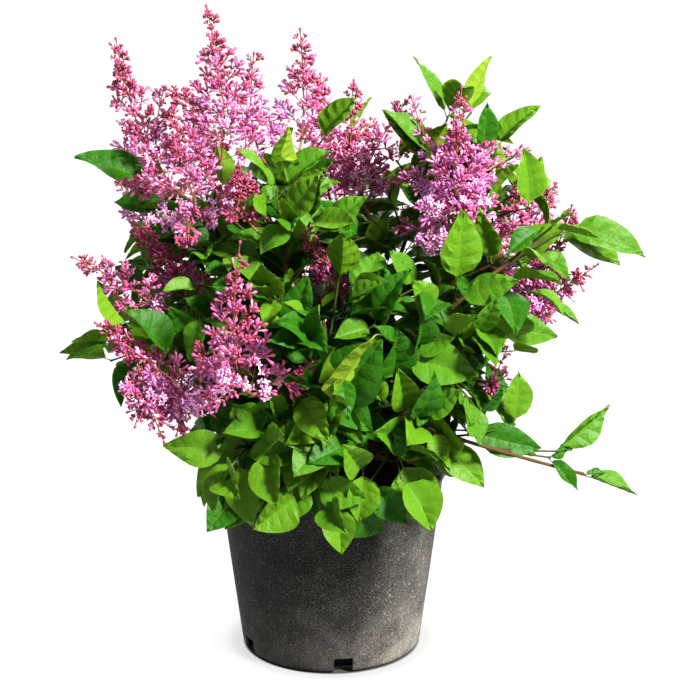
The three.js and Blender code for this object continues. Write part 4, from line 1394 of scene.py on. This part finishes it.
def compost_finish(settings):
    """Near-black moist compost with browner fibres, painted black low in the pot as the shade inside the
    notches.
    """
    finish = Finish("compost", roughness=0.92, specular_ior_level=0.25)
    place = finish.place()
    clumps = finish.grain(place, 90.0, 4.0)
    fibres = finish.grain(place, 700.0, 3.0).above(0.58, 0.72)
    colour = finish.blended(clumps.above(0.35, 0.7), tuple(settings.compost), tuple(settings.compost_pale))
    colour = finish.blended(fibres * 0.4, colour, tint(96, 70, 46))
    # Low in the pot, where the notches show it, the compost is painted near black as shade.
    height = finish.node("ShaderNodeSeparateXYZ", {}, place, output=2)
    notch_painted_shade = tint(5, 4, 4)
    finish.set("Base Color", finish.blended(height.above(0.03, 0.15), notch_painted_shade, colour))
    return finish.bumped(clumps + fibres * 0.4, 0.0015, 0.8).material


# ---- Settings ----


def colour_setting(name, description, default):
    return bpy.props.FloatVectorProperty(
        name=name, description=description, default=default, subtype="COLOR", min=0, max=1
    )


def number_setting(name, description, default, **limits):
    return bpy.props.FloatProperty(name=name, description=description, default=default, **limits)


def count_setting(name, description, default):
    return bpy.props.IntProperty(name=name, description=description, default=default, min=0)


def group_setting(group, name, description):
    return bpy.props.PointerProperty(type=group, name=name, description=description)


class LeafSettings(bpy.types.PropertyGroup):
    width_share: number_setting("Leaf width", "Width as a share of a leaf's length", 0.5, subtype="FACTOR")
    finer_twigs: count_setting("Finer twigs", "Side twigs added to each stem", 8)
    spurs: count_setting("Spurs", "Short leafy twigs on each cane or bough", 10)
    glow: number_setting("Glow", "How much light passes through a leaf", 0.16, subtype="FACTOR")
    # The leaf colours differ partly by nature and partly by painted light: bright also stands for leaves in
    # sun, deep for leaves in shade, and the colour for leaves within the crown is painted shade.
    young: colour_setting("Young leaf", "Upper side of the leaves at a twig's tip", tint(112, 126, 38))
    bright: colour_setting("Bright leaf", "Upper side of the outer leaves", tint(66, 105, 14))
    fresh: colour_setting("Fresh leaf", "Upper side of most leaves", tint(56, 98, 14))
    deep: colour_setting("Deep leaf", "Upper side of the older leaves", tint(31, 78, 8))
    inner: colour_setting("Inner leaf", "Upper side of the leaves within the crown", tint(11, 45, 2))
    under: colour_setting("Under side", "Pale under side of the leaves", tint(86, 122, 16))
    vein: colour_setting("Veins", "Midrib and veins on the upper side", tint(76, 110, 28))


class BlossomSettings(bpy.types.PropertyGroup):
    floret_scale: number_setting("Floret size", "Size of a floret against 9.5 mm", 1.0, min=0.1)
    rachis: colour_setting("Flower stalk", "Axis and side branches of a panicle", tint(118, 66, 40))
    bud_pink: colour_setting("Bud", "Tight buds of a pink panicle", tint(148, 46, 84))
    bud_dark: colour_setting("Dark bud", "Tight buds of a dark panicle", tint(112, 32, 58))
    tube_rose: colour_setting("Rose tube", "Closed florets in rose", tint(192, 84, 138))
    tube_pale: colour_setting("Pale tube", "Closed florets in pale pink", tint(230, 154, 200))
    tube_lilac: colour_setting("Lilac tube", "Closed florets in lilac", tint(182, 104, 170))
    tube_wine: colour_setting("Wine tube", "Closed florets in wine red", tint(154, 56, 100))
    petal_pink: colour_setting("Petal", "Lobes of an open floret", tint(238, 172, 216))
    petal_lilac: colour_setting("Lilac petal", "Lobes on a lilac panicle", tint(214, 144, 214))
    throat: colour_setting("Throat", "Mouth of an open floret", tint(120, 50, 74))


class WoodSettings(bpy.types.PropertyGroup):
    bark: colour_setting("Bark", "Bark of canes and boughs", tint(70, 52, 32))
    bark_pale: colour_setting("Pale bark", "Paler patches of the bark", tint(94, 76, 50))
    green_stem: colour_setting("Young stem", "Green-brown stems in the leaves", tint(46, 54, 18))
    brown_stem: colour_setting("Ripening stem", "Browner stems low in the leaves", tint(70, 50, 26))


class PotSettings(bpy.types.PropertyGroup):
    plastic: colour_setting("Plastic", "Charcoal plastic of the pot", tint(6, 6, 6))
    plastic_worn: colour_setting("Worn plastic", "Plastic that is scuffed grey", tint(108, 107, 103))
    dust: colour_setting("Dust", "Dried dust on the pot", tint(136, 131, 123))
    scratch: colour_setting("Scratches", "Fine pale scratches", tint(178, 174, 166))
    compost: colour_setting("Compost", "Moist compost", tint(34, 25, 19))
    compost_pale: colour_setting("Dry compost", "Drier bits of compost", tint(66, 50, 36))


class StageSettings(bpy.types.PropertyGroup):
    eye: bpy.props.FloatVectorProperty(
        name="Camera", description="Where the camera stands", default=(0.0203, -2.10, 0.93),
        subtype="XYZ", unit="LENGTH"
    )
    pitch: number_setting("Pitch", "How far the camera looks down", math.radians(16.07), subtype="ANGLE")
    lens: number_setting("Lens", "Focal length on a 36 mm sensor, in millimetres", 107.3)
    floor: colour_setting("Floor", "Pale studio floor", (0.03, 0.03, 0.03))
    floor_glow: number_setting("Floor glow", "Light of the floor itself, as of a light table", 1.0)
    key_power: number_setting("Key light", "Strength of the large light on the right", 520.0, unit="POWER")
    fill_power: number_setting("Fill light", "Strength of the soft light on the left", 6.0, unit="POWER")
    back_power: number_setting("Back light", "Strength of the light behind the bush", 60.0, unit="POWER")
    sky: number_setting("Sky", "Strength of the even light all round", 0.54)


class LilacSettings(bpy.types.PropertyGroup):
    leaves: group_setting(LeafSettings, "Leaves", "Leaves and twigs")
    blossom: group_setting(BlossomSettings, "Blossom", "Panicles")
    wood: group_setting(WoodSettings, "Wood", "Bark and stems")
    pot: group_setting(PotSettings, "Pot", "Pot and compost")
    stage: group_setting(StageSettings, "Stage", "Floor, light and camera")


# ---- Pieces ----


def bark_points(curve, bar, seed):
    """A limb with its bark's relief: ridges along it, small warts, and a swelling at each old leaf pair."""
    length = curve.length()
    rings = max(12, round(length / 2.2))
    points, faces = tube(curve, bar, rings)
    for ring in range(rings + 1):
        share = ring / rings
        centre = curve.at(share)
        along = share * length
        knot = math.exp(-(((along + 9) % PAIR_SPACING - PAIR_SPACING / 2) / 3.2) ** 2)
        foot = 1 + 0.45 * math.exp(-along / 9) if bar is CANE else 1
        for side in range(bar.sides):
            index = ring * bar.sides + side
            out = points[index] - centre
            angle = 2 * math.pi * side / bar.sides
            around = Vector((3 * math.cos(angle), 3 * math.sin(angle), along * 0.05 + seed))
            ridges = noise.noise(around * 0.9)
            warts = max(0, noise.noise(Vector((around.x, around.y, along * 0.6 + seed)) * 1.7) - 0.35)
            points[index] = centre + out * (foot + 0.09 * ridges + 0.35 * warts + 0.16 * knot)
    return points, faces


def swollen_at_pairs(length):
    """How much thicker a twig is at each share of its length: it swells at its leaf pairs."""
    pairs = pair_count(length)

    def swell(share):
        nearest = max(1, round(share * pairs)) / pairs
        return 1 + 0.3 * math.exp(-(((share - nearest) * length / 2.2) ** 2))

    return swell


class LILAC_OT_limbs(bpy.types.Operator):
    """Make the canes and boughs with their bark"""

    bl_idname = "lilac.limbs"
    bl_label = "Canes and boughs"

    def execute(self, context):
        bark = bark_finish(context.scene.lilac.wood)
        canes, boughs = Joined(), Joined()
        for shoot in SHOOTS:
            group, bar = (boughs, BOUGH) if shoot.parent else (canes, CANE)
            group.add(*bark_points(limbs()[shoot.name], bar, shoot.seed))
        canes.piece("canes", [bark], "stems", nodes_named("cane_"))
        boughs.piece("boughs", [bark], "stems", nodes_named("bough_"))
        return {"FINISHED"}


class LILAC_OT_twigs(bpy.types.Operator):
    """Make the stems and twigs that carry leaves"""

    bl_idname = "lilac.twigs"
    bl_label = "Stems and twigs"

    def execute(self, context):
        wood = context.scene.lilac.wood
        finishes = [
            plain_finish("green_stem", wood.green_stem, 0.75, specular_ior_level=0.15),
            plain_finish("brown_stem", wood.brown_stem, 0.8, specular_ior_level=0.15),
        ]
        green = Joined()
        bearing = grown_leaves()[1]
        for twig in twigs():
            if twig.rank and twig.curve not in bearing:
                continue
            length = twig.curve.length()
            rings = max(4, round(length / 7))
            points, faces = tube(twig.curve, twig.bar, rings, swollen_at_pairs(length))
            green.add(points, faces, 1 if twig.bar is STEM or twig.rank == 3 else 0)
        green.piece("stems_and_twigs", finishes, "stems", nodes_named("leaves_"))
        return {"FINISHED"}


class LILAC_OT_leaves(bpy.types.Operator):
    """Make the leaves, one piece for each shade"""

    bl_idname = "lilac.leaves"
    bl_label = "Leaves"

    def execute(self, context):
        settings = context.scene.lilac.leaves
        shades = ("young", "bright", "fresh", "deep", "inner")
        groups = {shade: Joined() for shade in shades}
        for number, (leaf, shade) in enumerate(grown_leaves()[0]):
            grid = INNER_LEAF if shade == "inner" else OUTER_LEAF
            draw = seeded(SEED["leaf_shape"] + number)
            points = leaf_points(leaf, grid, leaf_width(leaf), draw)
            groups[shade].add(points, grid.faces, grid.finishes)
        for shade, group in groups.items():
            colour = Vector(getattr(settings, shade))
            under = Vector(settings.under).lerp(colour, 0.35)
            vein = Vector(settings.vein).lerp(colour, 0.65)
            finishes = [
                leaf_finish("leaf_" + shade, colour, settings, 0.42),
                leaf_finish("leaf_under_" + shade, under, settings, 0.6),
                leaf_finish("leaf_vein_" + shade, vein, settings, 0.45),
            ]
            group.piece("leaves_" + shade, finishes, "leaves", nodes_named("leaves_"), 42)
        return {"FINISHED"}


class LILAC_OT_blossom(bpy.types.Operator):
    """Make the panicles: their stalks, then buds, closed florets and open florets apart"""

    bl_idname = "lilac.blossom"
    bl_label = "Blossom"

    def execute(self, context):
        settings = context.scene.lilac.blossom
        nodes = nodes_named("bloom_")
        stalks = Joined()
        for panicle in panicles():
            stalks.add(*tube(panicle.axis, AXIS, 12))
            for branch in panicle_branches()[panicle.axis]:
                stalks.add(*tube(branch.curve, BRANCH, 3))
        rachis = plain_finish("flower_stalk", settings.rachis, 0.55)
        stalks.piece("flower_stalks", [rachis], "blossom", nodes)
        shapes = {"bud": bud_shape(), "tube": tube_shape(), "open": open_shape()}
        for kind, shape in shapes.items():
            group = Joined()
            finishes = []
            for shade in SHADES:
                places = florets().get((kind, shade), [])
                if places:
                    points, faces, numbers = placed_copies(shape, places)
                    group.add(points, faces, numbers + len(finishes))
                    finishes += self.floret_finishes(settings, kind, shade)
            group.piece(f"florets_{kind}", finishes, "blossom", nodes, 110)
        return {"FINISHED"}

    @staticmethod
    def floret_finishes(settings, kind, shade):
        """The finishes of one kind of floret in one shade, in the order of its shape's numbers."""
        bud = Vector(settings.bud_dark if shade == "wine" else settings.bud_pink)
        tube_colour = Vector(getattr(settings, "tube_" + shade))
        petal = Vector(settings.petal_lilac if shade in ("lilac", "wine") else settings.petal_pink)
        colours = {
            "bud": [bud.lerp(Vector(settings.rachis), 0.45), bud],
            "tube": [tube_colour, tube_colour.lerp(bud, 0.6)],
            "open": [tube_colour.lerp(petal, 0.3), petal, settings.throat],
        }[kind]
        glow = {"subsurface_weight": 0.2, "subsurface_scale": 0.001}
        return [plain_finish(f"{kind}_{shade}_{number}", colour, 0.55, **glow)
                for number, colour in enumerate(colours)]


class LILAC_OT_pot(bpy.types.Operator):
    """Make the nursery pot with its lip, its rounded heel and its drain notches"""

    bl_idname = "lilac.pot"
    bl_label = "Pot"

    def execute(self, context):
        pot = self.shell()
        for number in range(NOTCH["count"]):
            self.cut_notch(pot, math.radians(NOTCH["first"] + number * 360 / NOTCH["count"]))
        self.unround(pot)
        pot.data.materials.clear()
        pot.data.materials.append(pot_finish(context.scene.lilac.pot))
        finished(pot, ["pot"], 32)
        return {"FINISHED"}

    @staticmethod
    def outline():
        """(radius, height) from the edge of the underside, up the wall, over the lip and down inside."""
        heel = POT["heel"]
        steps = [(pot_wall(0) - heel, 0)]
        foot = Curve((pot_wall(0) - heel, 0, 0), (pot_wall(0), 0, 0), (pot_wall(heel), heel, 0))
        steps += [tuple(foot.at(step / 5))[:2] for step in range(1, 6)]
        lip_foot = POT["height"] - POT["lip_height"]
        wall_steps = 14
        steps += [(pot_wall(z), z) for z in
                  (mixed(heel, lip_foot, step / wall_steps) for step in range(1, wall_steps + 1))]
        top = POT["height"]
        out = POT["top"] + POT["lip"]
        steps += [(pot_wall(lip_foot) + POT["lip"] - 0.8, lip_foot + 0.4), (out - 0.5, lip_foot + 1.4)]
        steps += [(out, top - 1.4), (out - 0.8, top - 0.3), (out - 1.8, top)]
        steps += [(POT["top"] - POT["wall"] + 0.8, top), (POT["top"] - POT["wall"], top - 0.8)]
        steps += [(pot_wall(z) - POT["wall"], z) for z in (170, 120, 60, POT["floor"])]
        return steps

    def shell(self):
        """The pot's shell, pulled up ring by ring from its underside."""
        bpy.ops.object.select_all(action="DESELECT")
        steps = self.outline()
        radius, height = steps[0]
        bpy.ops.mesh.primitive_circle_add(
            vertices=POT["sides"], radius=radius * MM, fill_type="NGON", location=(0, 0, height * MM)
        )
        pot = bpy.context.object
        pot.name = "nursery_pot"
        bpy.ops.object.mode_set(mode="EDIT")
        bpy.ops.mesh.select_all(action="SELECT")
        for after_radius, after_height in steps[1:]:
            rise = (after_height - height) * MM
            bpy.ops.mesh.extrude_region_move(TRANSFORM_OT_translate={"value": (0, 0, rise)})
            grown = after_radius / radius
            bpy.ops.transform.resize(value=(grown, grown, 1), center_override=(0, 0, after_height * MM))
            radius, height = after_radius, after_height
        bpy.ops.mesh.select_all(action="SELECT")
        bpy.ops.mesh.remove_doubles(threshold=1e-6)
        bpy.ops.mesh.normals_make_consistent(inside=False)
        bpy.ops.object.mode_set(mode="OBJECT")
        return pot

    @staticmethod
    def cut_notch(pot, bearing):
        """One arched notch through the wall's foot, cut with a block whose upper edges are rounded."""
        reach = 30
        middle = pot_wall(0) - NOTCH["depth"] + reach / 2
        height = NOTCH["height"] + 4
        bpy.ops.mesh.primitive_cube_add(size=1)
        block = bpy.context.object
        block.scale = (reach * MM, NOTCH["width"] * MM, height * MM)
        bpy.ops.object.transform_apply(location=False, rotation=False, scale=True)
        bevel = block.modifiers.new("rounded", "BEVEL")
        bevel.width = 0.5 * NOTCH["corner"] * MM
        bevel.segments = 3
        bpy.ops.object.modifier_apply(modifier="rounded")
        block.rotation_euler = (0, 0, bearing)
        centre_height = (NOTCH["height"] - height / 2) * MM
        block.location = (middle * MM * math.cos(bearing), middle * MM * math.sin(bearing), centre_height)
        bpy.context.view_layer.update()
        cut = pot.modifiers.new("notch", "BOOLEAN")
        cut.operation = "DIFFERENCE"
        cut.solver = "EXACT"
        cut.object = block
        bpy.context.view_layer.objects.active = pot
        bpy.ops.object.modifier_apply(modifier="notch")
        bpy.data.objects.remove(block)

    @staticmethod
    def unround(pot):
        """Soft unevenness of a thin moulded wall, none at the foot."""
        for vertex in pot.data.vertices:
            place = vertex.co
            angle = math.atan2(place.y, place.x)
            height = place.z / (POT["height"] * MM)
            soft = noise.noise(Vector((2.2 * math.cos(angle), 2.2 * math.sin(angle), 1.6 * height)))
            out = 0.9 * MM * min(1, 1.5 * height) * soft
            place.x += out * math.cos(angle)
            place.y += out * math.sin(angle)


class LILAC_OT_compost(bpy.types.Operator):
    """Make the compost with its crumbs"""

    bl_idname = "lilac.compost"
    bl_label = "Compost"

    def execute(self, context):
        earth = Joined()
        earth.add(*self.body())
        draw = seeded(SEED["crumbs"])
        crumb = [(1, 0, 0), (-1, 0, 0), (0, 1, 0), (0, -1, 0), (0, 0, 1), (0, 0, -1)]
        faces = [(0, 2, 4), (2, 1, 4), (1, 3, 4), (3, 0, 4), (2, 0, 5), (1, 2, 5), (3, 1, 5), (0, 3, 5)]
        for _ in range(CRUMBS["count"]):
            from_axis = CRUMBS["reach"] * math.sqrt(draw())
            bearing = 2 * math.pi * draw()
            x, y = from_axis * math.cos(bearing), from_axis * math.sin(bearing)
            size = mixed(0.8, 3.2, draw() ** 2)
            stretch = np.array([mixed(0.7, 1.9, draw()), mixed(0.6, 1.2, draw()), mixed(0.4, 0.8, draw())])
            shape = np.array(crumb) * stretch * size
            shape += np.array([[draw(), draw(), draw()] for _ in crumb]) * 0.5 * size
            turn = 2 * math.pi * draw()
            turned_x = shape[:, 0] * math.cos(turn) - shape[:, 1] * math.sin(turn)
            turned_y = shape[:, 0] * math.sin(turn) + shape[:, 1] * math.cos(turn)
            turned = np.stack([turned_x, turned_y, shape[:, 2]], axis=1)
            earth.add(turned + [x, y, self.surface(x, y) + 0.2 * size], faces)
        finish = compost_finish(context.scene.lilac.pot)
        earth.piece("potting_compost", [finish], "compost", ["compost"], 30)
        return {"FINISHED"}

    @staticmethod
    def surface(x, y):
        place = Vector((x, y, 0))
        return COMPOST_TOP + 2.0 * noise.noise(place * 0.03) + 1.3 * noise.noise(place * 0.16)

    def body(self):
        """The body of compost: a rough top, and a smooth side and floor against the pot."""
        sides, circles = 96, 36
        edge = pot_wall(COMPOST_TOP) - POT["wall"] - GAP
        points = [(0, 0, self.surface(0, 0))]
        for circle in range(1, circles + 1):
            radius = edge * circle / circles
            for side in range(sides):
                angle = 2 * math.pi * side / sides
                x, y = radius * math.cos(angle), radius * math.sin(angle)
                rough = 0.5 * noise.noise(Vector((x, y, 0)) * 0.5) if circle < circles else 0
                points.append((x, y, self.surface(x, y) + rough))
        ledge = NOTCH["height"] + 4
        above_ledge = pot_wall(ledge) - POT["wall"] - GAP
        foot = above_ledge - NOTCH["depth"]
        for radius, height in ((above_ledge, ledge), (foot, ledge), (foot, POT["floor"] + GAP)):
            for side in range(sides):
                angle = 2 * math.pi * side / sides
                points.append((radius * math.cos(angle), radius * math.sin(angle), height))
        points.append((0, 0, POT["floor"] + GAP))
        faces = [(0, 1 + side, 1 + (side + 1) % sides) for side in range(sides)]
        rings = circles + 3
        for ring in range(rings - 1):
            for side in range(sides):
                here, after = 1 + ring * sides + side, 1 + ring * sides + (side + 1) % sides
                faces += [(here, here + sides, after + sides), (here, after + sides, after)]
        last = 1 + (rings - 1) * sides
        faces += [(len(points) - 1, last + (side + 1) % sides, last + side) for side in range(sides)]
        return points, faces


# Steps in the floor's light round the pot, which paint a soft contact shadow: from one distance to another,
# in metres, and its share.
FLOOR_GLOW = [(0.0935, 0.097, 0.72), (0.098, 0.12, 0.2), (0.105, 0.16, 0.08)]


class LILAC_OT_stage(bpy.types.Operator):
    """Set the floor, the light and the camera"""

    bl_idname = "lilac.stage"
    bl_label = "Stage"

    def execute(self, context):
        stage = context.scene.lilac.stage
        bpy.ops.object.select_all(action="DESELECT")
        bpy.ops.mesh.primitive_plane_add(size=30, location=(0, 0, -0.0005))
        floor = bpy.context.object
        floor.name = "studio_floor"
        floor.data.materials.append(self.floor_finish(stage))
        self.light("key", (2.0, -1.7, 2.5), 0.6, stage.key_power, (1.0, 0.965, 0.9))
        self.light("fill", (-2.2, -1.8, 1.3), 2.0, stage.fill_power, (0.93, 0.96, 1.0))
        self.light("back", (1.0, 2.0, 2.0), 1.2, stage.back_power, (1.0, 0.98, 0.94))
        context.scene.world = self.even_sky(stage.sky)
        context.scene.view_settings.view_transform = "Standard"
        bpy.ops.object.camera_add(location=stage.eye, rotation=(math.pi / 2 - stage.pitch, 0, 0))
        camera = bpy.context.object
        camera.data.lens = stage.lens
        camera.data.sensor_width = 36
        context.scene.camera = camera
        return {"FINISHED"}

    @staticmethod
    def floor_finish(stage):
        """A floor that glows by itself, with no glow under the pot and a painted contact shadow close to
        its foot.
        """
        colour = tuple(stage.floor)
        pale = Finish("pale_floor", base_color=colour, roughness=0.9, emission_strength=stage.floor_glow)
        seen = pale.node("ShaderNodeLightPath", {}, output="Is Camera Ray")
        x, y = (pale.node("ShaderNodeSeparateXYZ", {}, pale.place(), output=axis) for axis in range(2))
        from_axis = pale.node("ShaderNodeMath", {"operation": "SQRT"}, x * x + y * y)
        # The glow rises in steps away from the pot's foot, painting a soft contact shadow round it.
        edge, near, far = (from_axis.above(low, high) * share for low, high, share in FLOOR_GLOW)
        glow = (0.75 + seen * 0.25) * (edge + near + far)
        pale.set("Emission Color", pale.blended(glow, (0.0, 0.0, 0.0), (1.0, 1.0, 1.0)))
        return pale.material

    @staticmethod
    def even_sky(light):
        """A world that is white to the eye, and dimmer as a light."""
        world = bpy.data.worlds.new("even_sky")
        world.use_nodes = True
        nodes, links = world.node_tree.nodes, world.node_tree.links
        background = nodes["Background"]
        background.inputs["Color"].default_value = (1, 1, 1, 1)
        path = nodes.new("ShaderNodeLightPath")
        strength = nodes.new("ShaderNodeMapRange")
        strength.inputs["To Min"].default_value = light
        links.new(path.outputs["Is Camera Ray"], strength.inputs["Value"])
        links.new(strength.outputs["Result"], background.inputs["Strength"])
        return world

    @staticmethod
    def light(name, place, size, power, colour):
        """A square soft light that looks at the middle of the bush."""
        aim = Vector((0, 0, 0.35)) - Vector(place)
        turned = aim.to_track_quat("-Z", "Y").to_euler()
        bpy.ops.object.light_add(type="AREA", location=place, rotation=turned)
        lamp = bpy.context.object
        lamp.name = name
        lamp.data.size = size
        lamp.data.energy = power
        lamp.data.color = colour


class LILAC_PT_panel(bpy.types.Panel):
    """The pieces of the bush, in the order in which they are made"""

    bl_idname = "LILAC_PT_panel"
    bl_label = "Potted lilac bush"
    bl_space_type = "VIEW_3D"
    bl_region_type = "UI"
    bl_category = "Lilac"

    def draw(self, context):
        for operator in OPERATORS:
            self.layout.operator(operator.bl_idname)
        for group in ("leaves", "blossom", "wood", "pot", "stage"):
            settings = getattr(context.scene.lilac, group)
            box = self.layout.box()
            for name in settings.bl_rna.properties.keys():
                if name not in ("rna_type", "name"):
                    box.prop(settings, name)


SETTINGS = (LeafSettings, BlossomSettings, WoodSettings, PotSettings, StageSettings, LilacSettings)
OPERATORS = (
    LILAC_OT_stage,
    LILAC_OT_pot,
    LILAC_OT_compost,
    LILAC_OT_limbs,
    LILAC_OT_twigs,
    LILAC_OT_leaves,
    LILAC_OT_blossom,
)


def register():
    for cls in (*SETTINGS, *OPERATORS, LILAC_PT_panel):
        bpy.utils.register_class(cls)
    bpy.types.Scene.lilac = bpy.props.PointerProperty(type=LilacSettings)


def unregister():
    del bpy.types.Scene.lilac
    for cls in reversed((*SETTINGS, *OPERATORS, LILAC_PT_panel)):
        bpy.utils.unregister_class(cls)


def main():
    """Makes every piece in order."""
    register()
    for operator in OPERATORS:
        group, name = operator.bl_idname.split(".")
        getattr(getattr(bpy.ops, group), name)()
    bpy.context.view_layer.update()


if __name__ == "__main__":
    main()
